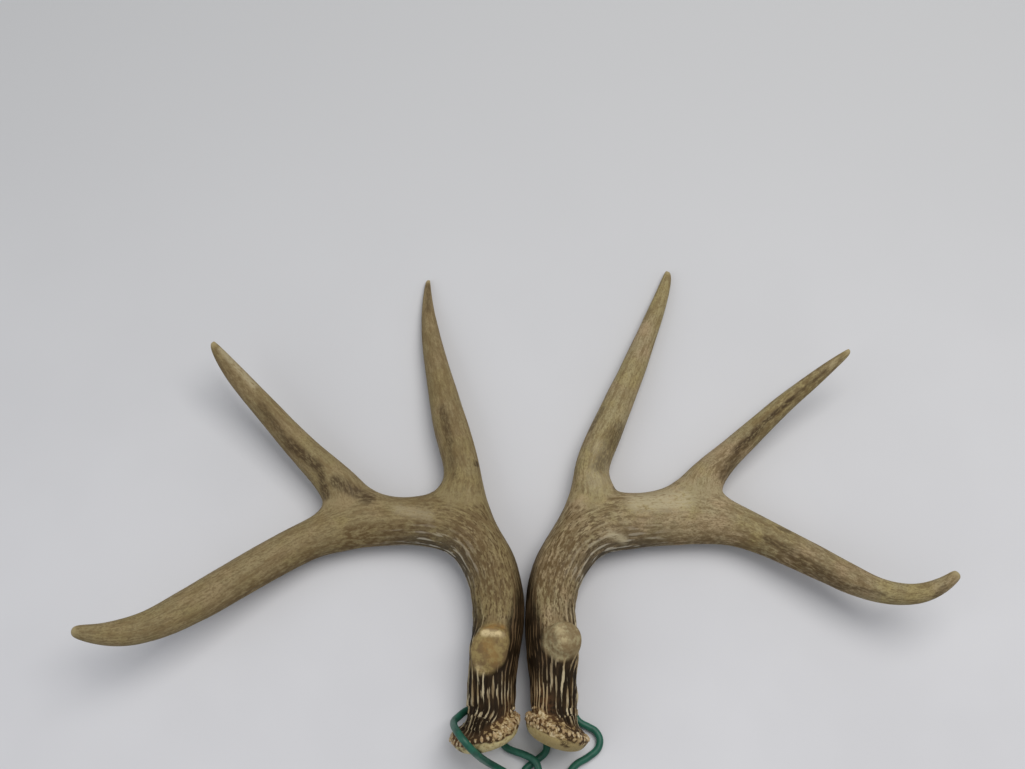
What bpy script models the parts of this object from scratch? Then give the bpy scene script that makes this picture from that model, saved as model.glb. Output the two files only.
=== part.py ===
"""A matched pair of shed whitetail antlers, tied together at the burrs with a green cord.

The pair lies on a flat surface with its inner sides up.  +X runs to the right, +Y away from the
burrs and +Z up.  The origin is on the surface, under the middle of the two antlers.  The
layout numbers below are millimetres measured from the point between the two burrs, and
ORIGIN moves them to the object's own origin.
"""
import math

import bmesh
import bpy
import numpy as np
from mathutils import Matrix, Vector, noise

MM = 0.001
UP = Vector((0.0, 0.0, 1.0))
ORIGIN = Vector((-1.39, 157.01, 0.10))    # the object's origin, seen from between the burrs
KERF = 0.3                              # gap between two pieces that meet
FINE_STEPS = 24                         # steps of a smooth curve between two of its points

# ---- the antler above its lower beam: a cage of eight-sided rings -------------------------
RING_SIDES = 8
DRAW_IN = 0.925             # one subdivision draws an eight-sided ring in to this share
BLADE_SIZE = 56.0           # the square saw blade that parts the pieces at a fork

# ---- the lower beam: many-sided rings with a ridge at every second corner -----------------
BEAM_SIDES = 48
BEAM_RING_STEP = 11.0
RIDGE_HEIGHT = 0.7          # how far a ridge stands above, and a groove lies below, the beam
RIDGE_SWELL = 0.6           # share of that height by which a ridge swells and sinks
RIDGE_FADE_START = 45.0     # distance from the burr where the ridges begin to sink away
RIDGE_FADE_END = 110.0
RIDGE_LEAST = 0.25          # share of the ridge height that is left at the bend
RIDGE_PATCH = 14.0          # length of the stretches over which a ridge swells and sinks

# ---- the seal in front of the burr: share of its depth, share of the rim radius, pearls ----
SEAL_PROFILE = (
    (0.91, 0.35, 0.0),
    (0.78, 0.62, 0.0),
    (0.59, 0.84, 0.0),
    (0.30, 0.95, 0.6),
)

# ---- the burr: distance behind its plane, share of its rim radius, height of its pearls ---
BURR_PROFILE = (
    (0.0, 1.00, 1.3),
    (3.0, 0.91, 1.0),
    (5.8, 0.75, 0.7),
)
BURR_BLEND_START = 4.0      # from here to there the rings turn from the burr's plane
BURR_BLEND_END = 30.0       # to square across the beam
FLARE_FROM = 0.70           # the share of the rim radius where the burr flares from the beam
WORN_SPOT = 292.0           # degrees from the inner side, over the top, to where the rim's
WORN_WIDTH = 26.0           # flare is low enough for the cord to pass under it
WORN_SHARE = 0.85

# ---- the cut stub of the brow tine ---------------------------------------------------------
STUB_SIDES = 16
STUB_SHOULDER = 0.72        # how far up the stub its shoulder is
STUB_SWELL = 1.10           # how much the shoulder swells beyond a straight taper

# ---- one antler: each station is its centre x, y, z, its half width in the antler's plane
# and its half thickness across it; "bend" is the station where the lower beam ends ---------
LEFT = {
    "turn": 1,
    "burr": {"centre": (-23.3, 3.0, 21.9), "yaw": 14.0, "lean": 22.0, "rim": (22.9, 23.6)},
    "seal_depth": 13.4,
    "stub": {
        "foot": (-20.0, 47.5, 27.0),
        "top": (-20.6, 50.0, 41.0),
        "foot_radii": (11.5, 18.0),
        "top_radii": (7.2, 10.5),
        "face_slope": 24.0,
    },
    "bend": 8,
    "beam": (
        (-19.35, 11.5, 22.0, 14.95, 14.7),
        (-19.55, 22.0, 21.6, 14.85, 14.7),
        (-19.3, 34.0, 21.0, 15.2, 14.7),
        (-18.1, 46.5, 20.5, 15.6, 14.8),
        (-16.4, 60.0, 20.0, 15.6, 14.8),
        (-15.55, 72.0, 19.4, 15.65, 14.9),
        (-16.05, 84.0, 18.8, 16.15, 15.0),
        (-18.0, 96.0, 18.2, 16.8, 15.1),
        (-21.95, 108.0, 17.5, 17.45, 15.1),
        (-31.5, 122.5, 16.7, 18.2, 14.9),
        (-46.0, 132.0, 15.8, 17.8, 14.4),
        (-65.0, 136.5, 14.7, 16.0, 14.0),
        (-80.0, 137.3, 14.0, 15.7, 13.8),
        (-96.0, 136.5, 13.8, 16.0, 13.8),
        (-114.0, 133.5, 14.0, 15.8, 13.6),
        (-133.0, 127.0, 15.0, 13.6, 12.6),
        (-147.0, 120.5, 16.5, 12.7, 12.0),
        (-162.0, 111.0, 19.0, 12.6, 11.7),
        (-178.0, 100.3, 22.2, 12.7, 11.4),
        (-205.0, 79.2, 31.0, 12.4, 11.0),
        (-231.0, 61.7, 40.5, 10.4, 9.6),
        (-248.0, 55.8, 46.5, 8.6, 8.2),
        (-261.0, 54.2, 51.0, 6.5, 6.2),
        (-271.0, 55.0, 54.0, 4.9, 4.6),
        (-277.0, 55.8, 55.3, 2.8, 2.8),
    ),
    "second_tine": {
        "ring": 10,
        "stations": (
            (-39.5, 150.5, 15.6, 16.4, 13.2),
            (-41.0, 165.0, 15.2, 13.6, 12.2),
            (-43.6, 186.0, 14.3, 12.3, 11.4),
            (-50.0, 207.0, 13.2, 12.4, 10.8),
            (-57.6, 239.0, 11.0, 9.5, 9.0),
            (-64.4, 271.0, 8.2, 7.1, 6.9),
            (-67.9, 296.0, 5.2, 4.7, 4.5),
            (-68.5, 313.0, 3.0, 2.9, 2.8),
            (-68.4, 322.0, 1.9, 1.6, 1.6),
        ),
    },
    "third_tine": {
        "ring": 14,
        "stations": (
            (-120.8, 158.0, 14.6, 14.2, 12.2),
            (-131.6, 169.8, 15.6, 11.8, 10.8),
            (-148.8, 185.3, 18.0, 9.9, 9.4),
            (-168.7, 205.3, 22.6, 8.6, 8.2),
            (-181.8, 219.8, 27.0, 7.9, 7.4),
            (-194.8, 233.6, 32.0, 6.8, 6.4),
            (-205.0, 245.5, 36.5, 4.9, 4.6),
            (-212.2, 255.2, 40.3, 2.3, 2.3),
        ),
    },
    "tip_cut": 15,
}

RIGHT = {
    "turn": -1,
    "burr": {"centre": (21.3, 2.1, 22.2), "yaw": -21.0, "lean": 10.0, "rim": (20.7, 22.8)},
    "seal_depth": 15.0,
    "stub": {
        "foot": (23.5, 51.0, 27.0),
        "top": (21.6, 52.0, 42.0),
        "foot_radii": (13.5, 14.5),
        "top_radii": (8.5, 9.5),
        "face_slope": 12.0,
    },
    "bend": 8,
    "beam": (
        (18.75, 11.5, 22.0, 14.85, 14.7),
        (19.05, 22.0, 21.6, 14.45, 14.7),
        (18.95, 34.0, 21.0, 14.75, 14.7),
        (18.8, 46.5, 20.5, 15.8, 14.8),
        (18.2, 60.0, 20.0, 16.0, 14.8),
        (17.9, 72.0, 19.4, 15.3, 14.9),
        (18.35, 84.0, 18.8, 15.65, 15.0),
        (20.8, 96.0, 18.2, 16.5, 15.1),
        (26.0, 108.0, 17.5, 17.3, 15.1),
        (35.0, 120.5, 16.7, 18.0, 14.9),
        (48.6, 130.5, 15.8, 18.4, 14.4),
        (66.5, 136.0, 14.7, 18.8, 14.0),
        (83.0, 138.0, 14.0, 17.6, 13.8),
        (98.0, 138.5, 13.8, 18.0, 13.8),
        (119.0, 139.0, 14.0, 17.6, 13.6),
        (140.0, 134.5, 15.0, 14.0, 12.4),
        (157.5, 126.0, 16.6, 11.9, 11.5),
        (173.0, 118.0, 19.0, 11.2, 11.0),
        (194.0, 106.0, 22.8, 10.4, 10.2),
        (209.0, 95.8, 26.4, 9.7, 9.4),
        (224.0, 86.8, 30.6, 8.2, 8.0),
        (240.0, 82.0, 36.0, 7.0, 6.8),
        (252.0, 81.8, 41.0, 6.3, 6.1),
        (262.5, 85.3, 46.0, 5.1, 4.9),
        (269.0, 89.4, 49.4, 3.9, 3.8),
        (273.2, 92.9, 51.4, 2.9, 2.9),
    ),
    "second_tine": {
        "ring": 10,
        "stations": (
            (46.6, 150.5, 15.6, 17.0, 13.2),
            (46.7, 166.5, 15.2, 13.5, 12.2),
            (49.2, 181.5, 14.4, 11.9, 11.3),
            (57.5, 200.0, 13.4, 11.3, 10.6),
            (67.8, 224.0, 11.9, 10.4, 9.7),
            (78.1, 247.0, 10.2, 9.1, 8.6),
            (88.0, 271.0, 8.2, 7.5, 7.1),
            (97.8, 296.5, 5.8, 6.0, 5.4),
            (104.6, 316.0, 4.0, 4.4, 3.9),
            (108.0, 328.5, 2.6, 2.5, 2.4),
        ),
    },
    "third_tine": {
        "ring": 14,
        "stations": (
            (121.5, 163.5, 14.6, 13.2, 11.8),
            (131.5, 175.5, 15.6, 10.3, 10.0),
            (147.0, 188.8, 17.6, 8.5, 8.4),
            (166.0, 205.3, 21.5, 7.6, 7.4),
            (180.6, 218.3, 25.5, 6.9, 6.7),
            (198.1, 230.9, 30.5, 5.7, 5.5),
            (213.3, 242.3, 35.3, 4.2, 4.1),
            (224.2, 249.8, 39.0, 2.3, 2.3),
        ),
    },
    "tip_cut": 15,
}
TINE_CUT = 0.6              # how far from a tine's first station to its second it is parted

# ---- the tie cord: hand-chosen points from one side of the knot round both beams and back --
CORD_DIAMETER = 4.6
CORD_POINT_STEP = 6.0
CORD_BEVEL = 2
CORD_ROUTE = (
    (0.0, -26.8, 3.0),
    (1.9, -20.8, 2.6),
    (13.2, -12.0, 2.5),
    (15.3, -6.2, 2.5),
    (14.2, 0.6, 2.5),
    (15.0, 7.8, 2.5),
    (17.9, 14.0, 2.5),
    (24.4, 16.8, 2.5),
    (31.0, 14.2, 2.5),
    (35.8, 8.0, 2.5),
    (41.4, 4.9, 2.5),
    (46.2, 2.1, 2.5),
    (48.8, -3.2, 2.5),
    (47.0, -9.2, 2.5),
    (40.6, -14.2, 2.5),
    (31.4, -20.4, 2.5),
    (19.0, -39.2, 2.5),
    (5.6, -47.0, 2.5),
    (-5.2, -39.8, 2.5),
    (-7.0, -30.8, 2.6),
    (-9.8, -24.2, 3.0),
    (-16.2, -20.4, 6.2),
    (-22.6, -17.8, 17.6),
    (-27.1, -15.9, 33.0),
    (-29.2, -14.6, 39.6),
    (-32.3, -12.0, 44.0),
    (-35.8, -8.2, 45.7),
    (-38.9, -4.2, 43.2),
    (-41.2, -0.4, 36.0),
    (-42.7, 3.0, 26.6),
    (-43.0, 6.4, 17.6),
    (-41.3, 9.2, 12.0),
    (-35.4, 14.6, 5.4),
    (-25.4, 17.3, 2.7),
    (-16.6, 11.6, 2.6),
    (-13.8, 1.4, 2.6),
    (-10.8, -7.6, 2.7),
    (2.2, -13.2, 6.1),
    (8.4, -17.7, 7.6),
    (10.6, -27.0, 7.3),
)
KNOT_CENTRE = (5.4, -32.5, 6.0)
KNOT_SIZE = (16.5, 9.6, 11.0)
KNOT_ROUNDING = 3.0
KNOT_TAILS = (
    ((2.6, -35.0, 4.8), (0.8, -40.4, 3.2)),
    ((8.6, -35.0, 4.8), (10.6, -40.6, 3.2)),
)


def material(name, colour, roughness):
    """A plain Principled finish for one kind of surface."""
    finish = bpy.data.materials.new(name)
    finish.use_nodes = True
    shader = finish.node_tree.nodes["Principled BSDF"]
    shader.inputs["Base Color"].default_value = (*colour, 1.0)
    shader.inputs["Roughness"].default_value = roughness
    shader.inputs["Metallic"].default_value = 0.0
    return finish


def place(point):
    """A layout point in millimetres, as metres from the object's origin."""
    return (Vector(point) - ORIGIN) * MM


def smooth_step(value, start, end):
    """0 before start, 1 after end, and a soft rise between them."""
    share = min(max((value - start) / (end - start), 0.0), 1.0)
    return share * share * (3.0 - 2.0 * share)


def curve_through(rows, step):
    """Rows about one step apart on a smooth curve through the given rows."""
    rows = np.array(rows)
    padded = np.vstack((2.0 * rows[0] - rows[1], rows, 2.0 * rows[-1] - rows[-2]))
    fine = []
    for a, b, c, d in zip(padded, padded[1:], padded[2:], padded[3:]):
        for t in np.linspace(0.0, 1.0, FINE_STEPS, endpoint=False):
            bend = (c - a) * t + (2.0 * a - 5.0 * b + 4.0 * c - d) * t ** 2
            fine.append(b + 0.5 * (bend + (3.0 * b - a - 3.0 * c + d) * t ** 3))
    fine = np.array(fine + [rows[-1]])
    strides = np.linalg.norm(np.diff(fine[:, :3], axis=0), axis=1)
    travelled = np.concatenate(([0.0], np.cumsum(strides)))
    stops = np.linspace(0.0, travelled[-1], round(travelled[-1] / step) + 1)
    return [[float(np.interp(stop, travelled, column)) for column in fine.T] for stop in stops]


def directions(stations):
    """The unit direction of travel at each station."""
    points = [Vector(station[:3]) for station in stations]
    last = len(points) - 1
    steps = [points[min(i + 1, last)] - points[max(i - 1, 0)] for i in range(len(points))]
    return [step.normalized() for step in steps]


def cross_axes(direction, turn):
    """The two axes of a section: towards the tines' side, and up."""
    side = direction.cross(UP).normalized() * turn
    return side, side.cross(direction).normalized() * turn


def add_ring(mesh, centre, axes, radii, sides, relief=None):
    """Add the corners of one section, with an optional relief at each corner."""
    ring = []
    for corner in range(sides):
        angle = 2.0 * math.pi * corner / sides
        offset = axes[0] * radii[0] * math.cos(angle) + axes[1] * radii[1] * math.sin(angle)
        if relief:
            offset += offset.normalized() * relief[corner]
        ring.append(mesh.verts.new(place(centre + offset)))
    return ring


def join_rings(mesh, first, second, skipped=()):
    """Join two rings with a band of four-sided faces."""
    count = len(first)
    for corner in range(count):
        if corner not in skipped:
            after = (corner + 1) % count
            mesh.faces.new((first[corner], first[after], second[after], second[corner]))


def finished_mesh(mesh, name):
    """Turn every face outwards and hand the mesh over."""
    bmesh.ops.recalc_face_normals(mesh, faces=mesh.faces)
    data = bpy.data.meshes.new(name)
    mesh.to_mesh(data)
    mesh.free()
    return data


def evaluated_mesh(source):
    """The mesh of an object with its modifiers carried out."""
    graph = bpy.context.evaluated_depsgraph_get()
    graph.update()
    return bpy.data.meshes.new_from_object(source.evaluated_get(graph))


def helper_object(name, data, cutters):
    """An object that only helps to shape another one."""
    helper = bpy.data.objects.new(name, data)
    helper.hide_render = True
    helper.display_type = "WIRE"
    cutters.objects.link(helper)
    return helper


def combined_mesh(first, second, operation, cutters):
    """Join or cut the first mesh with the second."""
    body = helper_object("shaped_body", first, cutters)
    tool = helper_object("shaping_tool", second, cutters)
    step = body.modifiers.new(operation.lower(), "BOOLEAN")
    step.operation = operation
    step.solver = "EXACT"
    step.object = tool
    result = evaluated_mesh(body)
    bpy.data.objects.remove(body)
    bpy.data.objects.remove(tool)
    return result


def add_piece(name, data, finish, collection):
    """Put a finished mesh into the model as one named sub-part."""
    data.materials.clear()
    data.materials.append(finish)
    data.shade_smooth()
    data.set_sharp_from_angle(angle=math.radians(40.0))
    piece = bpy.data.objects.new(name, data)
    collection.objects.link(piece)
    return piece


# ---- the lower beam with its burr, seal, pearls, ridges and brow stub ----------------------

def ridge_relief(distance, height):
    """Ridges and grooves round one ring, each swelling and sinking along the beam."""
    relief = []
    for corner in range(BEAM_SIDES):
        patch = noise.noise(Vector((corner * 1.7, distance / RIDGE_PATCH, 0.0)))
        crest = 1.0 if corner % 2 == 0 else -1.0
        relief.append(height * (crest + RIDGE_SWELL * patch))
    return relief


def burr_relief(distance, share, radius, pearl):
    """Pearls round one ring of the burr, and the spot where its flare is worn low."""
    flare = max(share - FLARE_FROM, 0.0) * radius
    relief = []
    for corner, height in enumerate(ridge_relief(distance, pearl)):
        away = 360.0 * corner / BEAM_SIDES - WORN_SPOT
        worn = WORN_SHARE * math.exp(-(away / WORN_WIDTH) ** 2)
        relief.append(height * (1.0 - worn) - flare * worn)
    return relief


def burr_axis(burr):
    """The direction from the seal into the beam, square to the burr's plane."""
    yaw, lean = math.radians(burr["yaw"]), math.radians(burr["lean"])
    level = Vector((-math.sin(yaw), math.cos(yaw), 0.0))
    return level * math.cos(lean) + UP * math.sin(lean)


def add_burr_rings(mesh, antler, axis, along):
    """The rings of the convex seal and of the pearled rim."""
    rings = []
    burr = antler["burr"]
    centre = Vector(burr["centre"])
    rows = [(-depth * antler["seal_depth"], share, pearl) for depth, share, pearl in SEAL_PROFILE]
    for distance, share, pearl in (*rows, *BURR_PROFILE):
        travel = axis if distance < 0.0 else along
        radii = (burr["rim"][0] * share, burr["rim"][1] * share)
        relief = burr_relief(distance, share, burr["rim"][1], pearl)
        at = centre + travel * distance
        axes = cross_axes(axis, antler["turn"])
        rings.append(add_ring(mesh, at, axes, radii, BEAM_SIDES, relief))
    return rings


def add_beam_rings(mesh, antler, axis):
    """The ridged rings from behind the burr to the bend."""
    burr, turn = antler["burr"], antler["turn"]
    bend = antler["bend"]
    stations = antler["beam"][:bend + 1]
    end_direction = directions(antler["beam"])[bend]
    rows = curve_through(stations, BEAM_RING_STEP)
    travels = directions(rows)
    travels[-1] = end_direction
    rings = []
    for row, travel in zip(rows, travels):
        centre = Vector(row[:3])
        distance = (centre - Vector(burr["centre"])).length
        turned = axis.slerp(travel, smooth_step(distance, BURR_BLEND_START, BURR_BLEND_END))
        fade = smooth_step(distance, RIDGE_FADE_START, RIDGE_FADE_END)
        height = RIDGE_HEIGHT * (1.0 - fade * (1.0 - RIDGE_LEAST))
        if row is rows[-1]:
            centre -= end_direction * KERF
        relief = ridge_relief(distance, height)
        rings.append(add_ring(mesh, centre, cross_axes(turned, turn), row[3:], BEAM_SIDES, relief))
    return rings


def lower_beam_mesh(antler):
    """The lower beam as one closed body, without its stub."""
    mesh = bmesh.new()
    burr = antler["burr"]
    axis = burr_axis(burr)
    along = (Vector(antler["beam"][0][:3]) - Vector(burr["centre"])).normalized()
    rings = add_burr_rings(mesh, antler, axis, along)
    rings += add_beam_rings(mesh, antler, axis)
    crown = mesh.verts.new(place(Vector(burr["centre"]) - axis * antler["seal_depth"]))
    for corner in range(BEAM_SIDES):
        mesh.faces.new((crown, rings[0][(corner + 1) % BEAM_SIDES], rings[0][corner]))
    for first, second in zip(rings, rings[1:]):
        join_rings(mesh, first, second)
    mesh.faces.new(rings[-1])
    return finished_mesh(mesh, "lower_beam")


def stub_mesh(stub):
    """The stub of the brow tine, with a flat sloping cut on top."""
    mesh = bmesh.new()
    foot, top = Vector(stub["foot"]), Vector(stub["top"])
    across = Vector((1.0, 0.0, 0.0))
    level = (across, Vector((0.0, 1.0, 0.0)))
    slope = math.radians(stub["face_slope"])
    cut = (across, Vector((0.0, math.cos(slope), math.sin(slope))))
    shoulder = foot.lerp(top, STUB_SHOULDER)
    pairs = list(zip(stub["foot_radii"], stub["top_radii"]))
    swollen = [(a + (b - a) * STUB_SHOULDER) * STUB_SWELL for a, b in pairs]
    rings = [
        add_ring(mesh, foot, level, stub["foot_radii"], STUB_SIDES),
        add_ring(mesh, shoulder, cut, swollen, STUB_SIDES),
        add_ring(mesh, top, cut, stub["top_radii"], STUB_SIDES),
    ]
    mesh.faces.new(rings[0])
    mesh.faces.new(rings[-1])
    for first, second in zip(rings, rings[1:]):
        join_rings(mesh, first, second)
    return finished_mesh(mesh, "brow_stub")


# ---- the beam and tines above the bend -----------------------------------------------------

def cage_rings(mesh, stations, travels, turn):
    """The rings of one branch, a little larger than the surface they draw in to."""
    rings = []
    for station, travel in zip(stations, travels):
        radii = (station[3] / DRAW_IN, station[4] / DRAW_IN)
        axes = cross_axes(travel, turn)
        rings.append(add_ring(mesh, Vector(station[:3]), axes, radii, RING_SIDES))
    return rings


def grow_tine(mesh, before, middle, after, tine, turn):
    """Grow a tine from the hole that is open between three rings of the beam."""
    mouth = [after[0], after[1], middle[1], before[1], before[0], before[7], middle[7], after[7]]
    stations = tine["stations"]
    rings = cage_rings(mesh, stations, directions(stations), -turn)
    for first, second in zip([mouth] + rings, rings):
        join_rings(mesh, first, second)
    mesh.faces.new(rings[-1])


def upper_antler_mesh(antler, cutters):
    """The whole antler above the bend: a forked cage, subdivided once and closed."""
    mesh = bmesh.new()
    turn, bend = antler["turn"], antler["bend"]
    stations = antler["beam"]
    rings = cage_rings(mesh, stations[bend:], directions(stations)[bend:], turn)
    tines = [(tine, tine["ring"] - bend) for tine in (antler["second_tine"], antler["third_tine"])]
    opened = [band for _, ring in tines for band in (ring - 1, ring)]
    for band in range(len(rings) - 1):
        skipped = (RING_SIDES - 1, 0) if band in opened else ()
        join_rings(mesh, rings[band], rings[band + 1], skipped)
    mesh.faces.new(rings[-1])
    for tine, ring in tines:
        mesh.verts.remove(rings[ring][0])
        grow_tine(mesh, rings[ring - 1], rings[ring], rings[ring + 1], tine, turn)
    cage = helper_object("antler_cage", finished_mesh(mesh, "antler_cage"), cutters)
    rounding = cage.modifiers.new("rounding", "SUBSURF")
    rounding.levels = 1
    rounding.render_levels = 1
    rounded = evaluated_mesh(cage)
    bpy.data.objects.remove(cage)
    mesh = bmesh.new()
    mesh.from_mesh(rounded)
    bmesh.ops.holes_fill(mesh, edges=[edge for edge in mesh.edges if edge.is_boundary], sides=0)
    return finished_mesh(mesh, "upper_antler")


def saw_blades(antler):
    """Thin square plates across the foot of each tine and of the beam tip."""
    mesh = bmesh.new()
    scale = Matrix.Diagonal((BLADE_SIZE * MM, BLADE_SIZE * MM, KERF * MM, 1.0))
    cuts = [(antler[tine]["stations"][:2], TINE_CUT) for tine in ("second_tine", "third_tine")]
    tip_cut = antler["tip_cut"]
    cuts.append((antler["beam"][tip_cut:tip_cut + 2], 0.0))
    for stations, share in cuts:
        start, end = (Vector(station[:3]) for station in stations)
        plate = bmesh.ops.create_cube(mesh, size=1.0)["verts"]
        turned = (end - start).to_track_quat("Z", "Y").to_matrix().to_4x4()
        bmesh.ops.transform(mesh, matrix=turned @ scale, verts=plate)
        bmesh.ops.translate(mesh, vec=place(start.lerp(end, share)), verts=plate)
    return finished_mesh(mesh, "saw_blades")


def separate_parts(data, collection):
    """Split a mesh into its closed bodies, each an object of its own."""
    whole = bpy.data.objects.new("sawn_antler", data)
    collection.objects.link(whole)
    bpy.ops.object.select_all(action="DESELECT")
    whole.select_set(True)
    bpy.context.view_layer.objects.active = whole
    bpy.ops.mesh.separate(type="LOOSE")
    return list(bpy.context.selected_objects)


def nearest(parts, point):
    """The part with a corner nearest to a layout point."""
    target = place(point)
    return min(parts, key=lambda part: min((v.co - target).length for v in part.data.vertices))


def build_antler(side, antler, finishes, collection, cutters):
    """One antler as five pieces, parted by saw-thin gaps at its forks."""
    beam = combined_mesh(lower_beam_mesh(antler), stub_mesh(antler["stub"]), "UNION", cutters)
    add_piece(side + "_lower_beam", beam, finishes["lower_beam"], collection)
    sawn = combined_mesh(upper_antler_mesh(antler, cutters), saw_blades(antler), "DIFFERENCE", cutters)
    parts = separate_parts(sawn, cutters)
    landmarks = {
        "middle_beam": antler["beam"][antler["bend"]],
        "second_tine": antler["second_tine"]["stations"][-1],
        "third_tine": antler["third_tine"]["stations"][-1],
        "beam_tip": antler["beam"][-1],
    }
    for piece, station in landmarks.items():
        part = nearest(parts, station[:3])
        add_piece(side + "_" + piece, part.data.copy(), finishes[piece], collection)
    for part in parts:
        bpy.data.objects.remove(part)


# ---- the tie -------------------------------------------------------------------------------

def build_cord(finish, collection):
    """The cord as one round tube along its route."""
    points = curve_through(CORD_ROUTE, CORD_POINT_STEP)
    curve = bpy.data.curves.new("tie_cord", "CURVE")
    curve.dimensions = "3D"
    curve.bevel_depth = CORD_DIAMETER / 2.0 * MM
    curve.bevel_resolution = CORD_BEVEL
    curve.use_fill_caps = True
    spline = curve.splines.new("POLY")
    spline.points.add(len(points) - 1)
    for target, point in zip(spline.points, points):
        target.co = (*place(point), 1.0)
    curve.materials.append(finish)
    cord = bpy.data.objects.new("tie_cord", curve)
    collection.objects.link(cord)


def knot_tail_mesh(start, end):
    """One short end of the cord that sticks out of the knot."""
    mesh = bmesh.new()
    start, end = Vector(start), Vector(end)
    axes = cross_axes((end - start).normalized(), 1)
    radii = (CORD_DIAMETER / 2.0, CORD_DIAMETER / 2.0)
    rings = [add_ring(mesh, point, axes, radii, RING_SIDES) for point in (start, end)]
    join_rings(mesh, *rings)
    mesh.faces.new(rings[0])
    mesh.faces.new(rings[1])
    return finished_mesh(mesh, "knot_tail")


def build_knot(finish, collection, cutters):
    """The knot that closes the cord, with its two short ends."""
    mesh = bmesh.new()
    bmesh.ops.create_cube(mesh, size=1.0)
    bmesh.ops.scale(mesh, vec=Vector(KNOT_SIZE) * MM, verts=mesh.verts)
    bmesh.ops.translate(mesh, vec=place(KNOT_CENTRE), verts=mesh.verts)
    rounding = KNOT_ROUNDING * MM
    bmesh.ops.bevel(mesh, geom=mesh.edges[:], offset=rounding, segments=2, profile=0.5, affect="EDGES")
    knot = finished_mesh(mesh, "tie_knot")
    for start, end in KNOT_TAILS:
        knot = combined_mesh(knot, knot_tail_mesh(start, end), "UNION", cutters)
    add_piece("tie_knot", knot, finish, collection)


def main():
    for leftover in list(bpy.data.objects):
        bpy.data.objects.remove(leftover)
    antlers = bpy.data.collections.new("tied_deer_antlers")
    cutters = bpy.data.collections.new("cutters")
    for collection in (antlers, cutters):
        bpy.context.scene.collection.children.link(collection)
    finishes = {
        "lower_beam": material("ridged_dark_antler", (0.16, 0.105, 0.06), 0.60),
        "middle_beam": material("brown_antler", (0.30, 0.235, 0.155), 0.55),
        "second_tine": material("tan_antler", (0.36, 0.295, 0.20), 0.50),
        "third_tine": material("grey_tan_antler", (0.35, 0.29, 0.20), 0.50),
        "beam_tip": material("pale_antler", (0.38, 0.32, 0.23), 0.48),
    }
    build_antler("left", LEFT, finishes, antlers, cutters)
    build_antler("right", RIGHT, finishes, antlers, cutters)
    green = material("green_cord", (0.01, 0.13, 0.075), 0.55)
    build_cord(green, antlers)
    build_knot(green, antlers, cutters)


main()
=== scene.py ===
# %% [markdown]
# # Two shed deer antlers, tied together with a green cord
#
# A deer drops its antlers every winter, and a finder often ties the pair together at the burrs.
# This file dresses the measured model of such a pair: the camera and the light come first, then
# the cord, then each antler as one grown piece, and at last the finishes.  Every length is in
# metres, except in the tables of the antlers' measures, which are in millimetres because that
# is how an antler is measured.

# %% Load the measured model
import math

import bmesh
import bpy
import numpy as np
from mathutils import Matrix, Vector, kdtree, noise


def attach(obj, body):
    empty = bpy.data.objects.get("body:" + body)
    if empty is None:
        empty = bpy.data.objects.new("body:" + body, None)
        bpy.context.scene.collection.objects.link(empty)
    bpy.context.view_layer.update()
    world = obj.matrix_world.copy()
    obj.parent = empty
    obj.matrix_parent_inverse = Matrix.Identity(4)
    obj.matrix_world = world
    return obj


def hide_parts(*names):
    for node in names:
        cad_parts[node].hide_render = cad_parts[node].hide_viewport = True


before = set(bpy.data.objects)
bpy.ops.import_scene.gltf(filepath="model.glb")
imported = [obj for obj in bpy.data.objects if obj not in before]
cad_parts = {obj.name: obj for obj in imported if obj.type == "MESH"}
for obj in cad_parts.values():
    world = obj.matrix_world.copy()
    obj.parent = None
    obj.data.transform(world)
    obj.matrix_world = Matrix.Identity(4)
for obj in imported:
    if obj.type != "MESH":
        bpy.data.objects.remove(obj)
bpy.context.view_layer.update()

# %% [markdown]
# ## Where things are
#
# The tables below count from the point on the floor between the two burrs, because both antlers
# start there.  The finished model counts from the middle of the pair, so one helper moves a
# point from the first to the second.

# %% The origin and a few helpers
MM = 0.001
UP = Vector((0.0, 0.0, 1.0))
ORIGIN = Vector((-0.00139, 0.15701, 0.00010))
CURVE_STEPS = 24           # between two rows, before a curve is divided evenly


def place(point):
    """A point measured from between the burrs, as a point of the model."""
    return Vector(point) - ORIGIN


def rise(value, start, end):
    """0 before start, 1 after end, and a soft rise between them."""
    share = np.clip((value - start) / (end - start), 0.0, 1.0)
    return share * share * (3.0 - 2.0 * share)


def smooth_line(rows, step):
    """Rows about one step apart on a smooth curve through the given rows.

    The first three columns are a place.  Any others, such as half sizes, change along with it.
    """
    rows = np.array(rows, dtype=float)
    padded = np.vstack((2.0 * rows[0] - rows[1], rows, 2.0 * rows[-1] - rows[-2]))
    fine = []
    for a, b, c, d in zip(padded, padded[1:], padded[2:], padded[3:]):
        for t in np.linspace(0.0, 1.0, CURVE_STEPS, endpoint=False):
            bend = (c - a) * t + (2.0 * a - 5.0 * b + 4.0 * c - d) * t ** 2
            fine.append(b + 0.5 * (bend + (3.0 * b - a - 3.0 * c + d) * t ** 3))
    fine = np.array(fine + [rows[-1]])
    strides = np.linalg.norm(np.diff(fine[:, :3], axis=0), axis=1)
    travelled = np.concatenate(([0.0], np.cumsum(strides)))
    stops = np.linspace(0.0, travelled[-1], round(travelled[-1] / step) + 1)
    return np.stack([np.interp(stops, travelled, column) for column in fine.T], axis=1)


print("the point between the burrs is at", [round(value, 4) for value in place((0.0, 0.0, 0.0))])

# %% [markdown]
# ## The camera
#
# The photograph was taken from above and a little in front of the burrs, so the camera looks
# down at 68 degrees.  Its focal length is counted in pixels.  At 1237 pixels, an object fills a
# picture 1025 pixels wide when it is 1.2 times as far away as it is wide.

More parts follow.
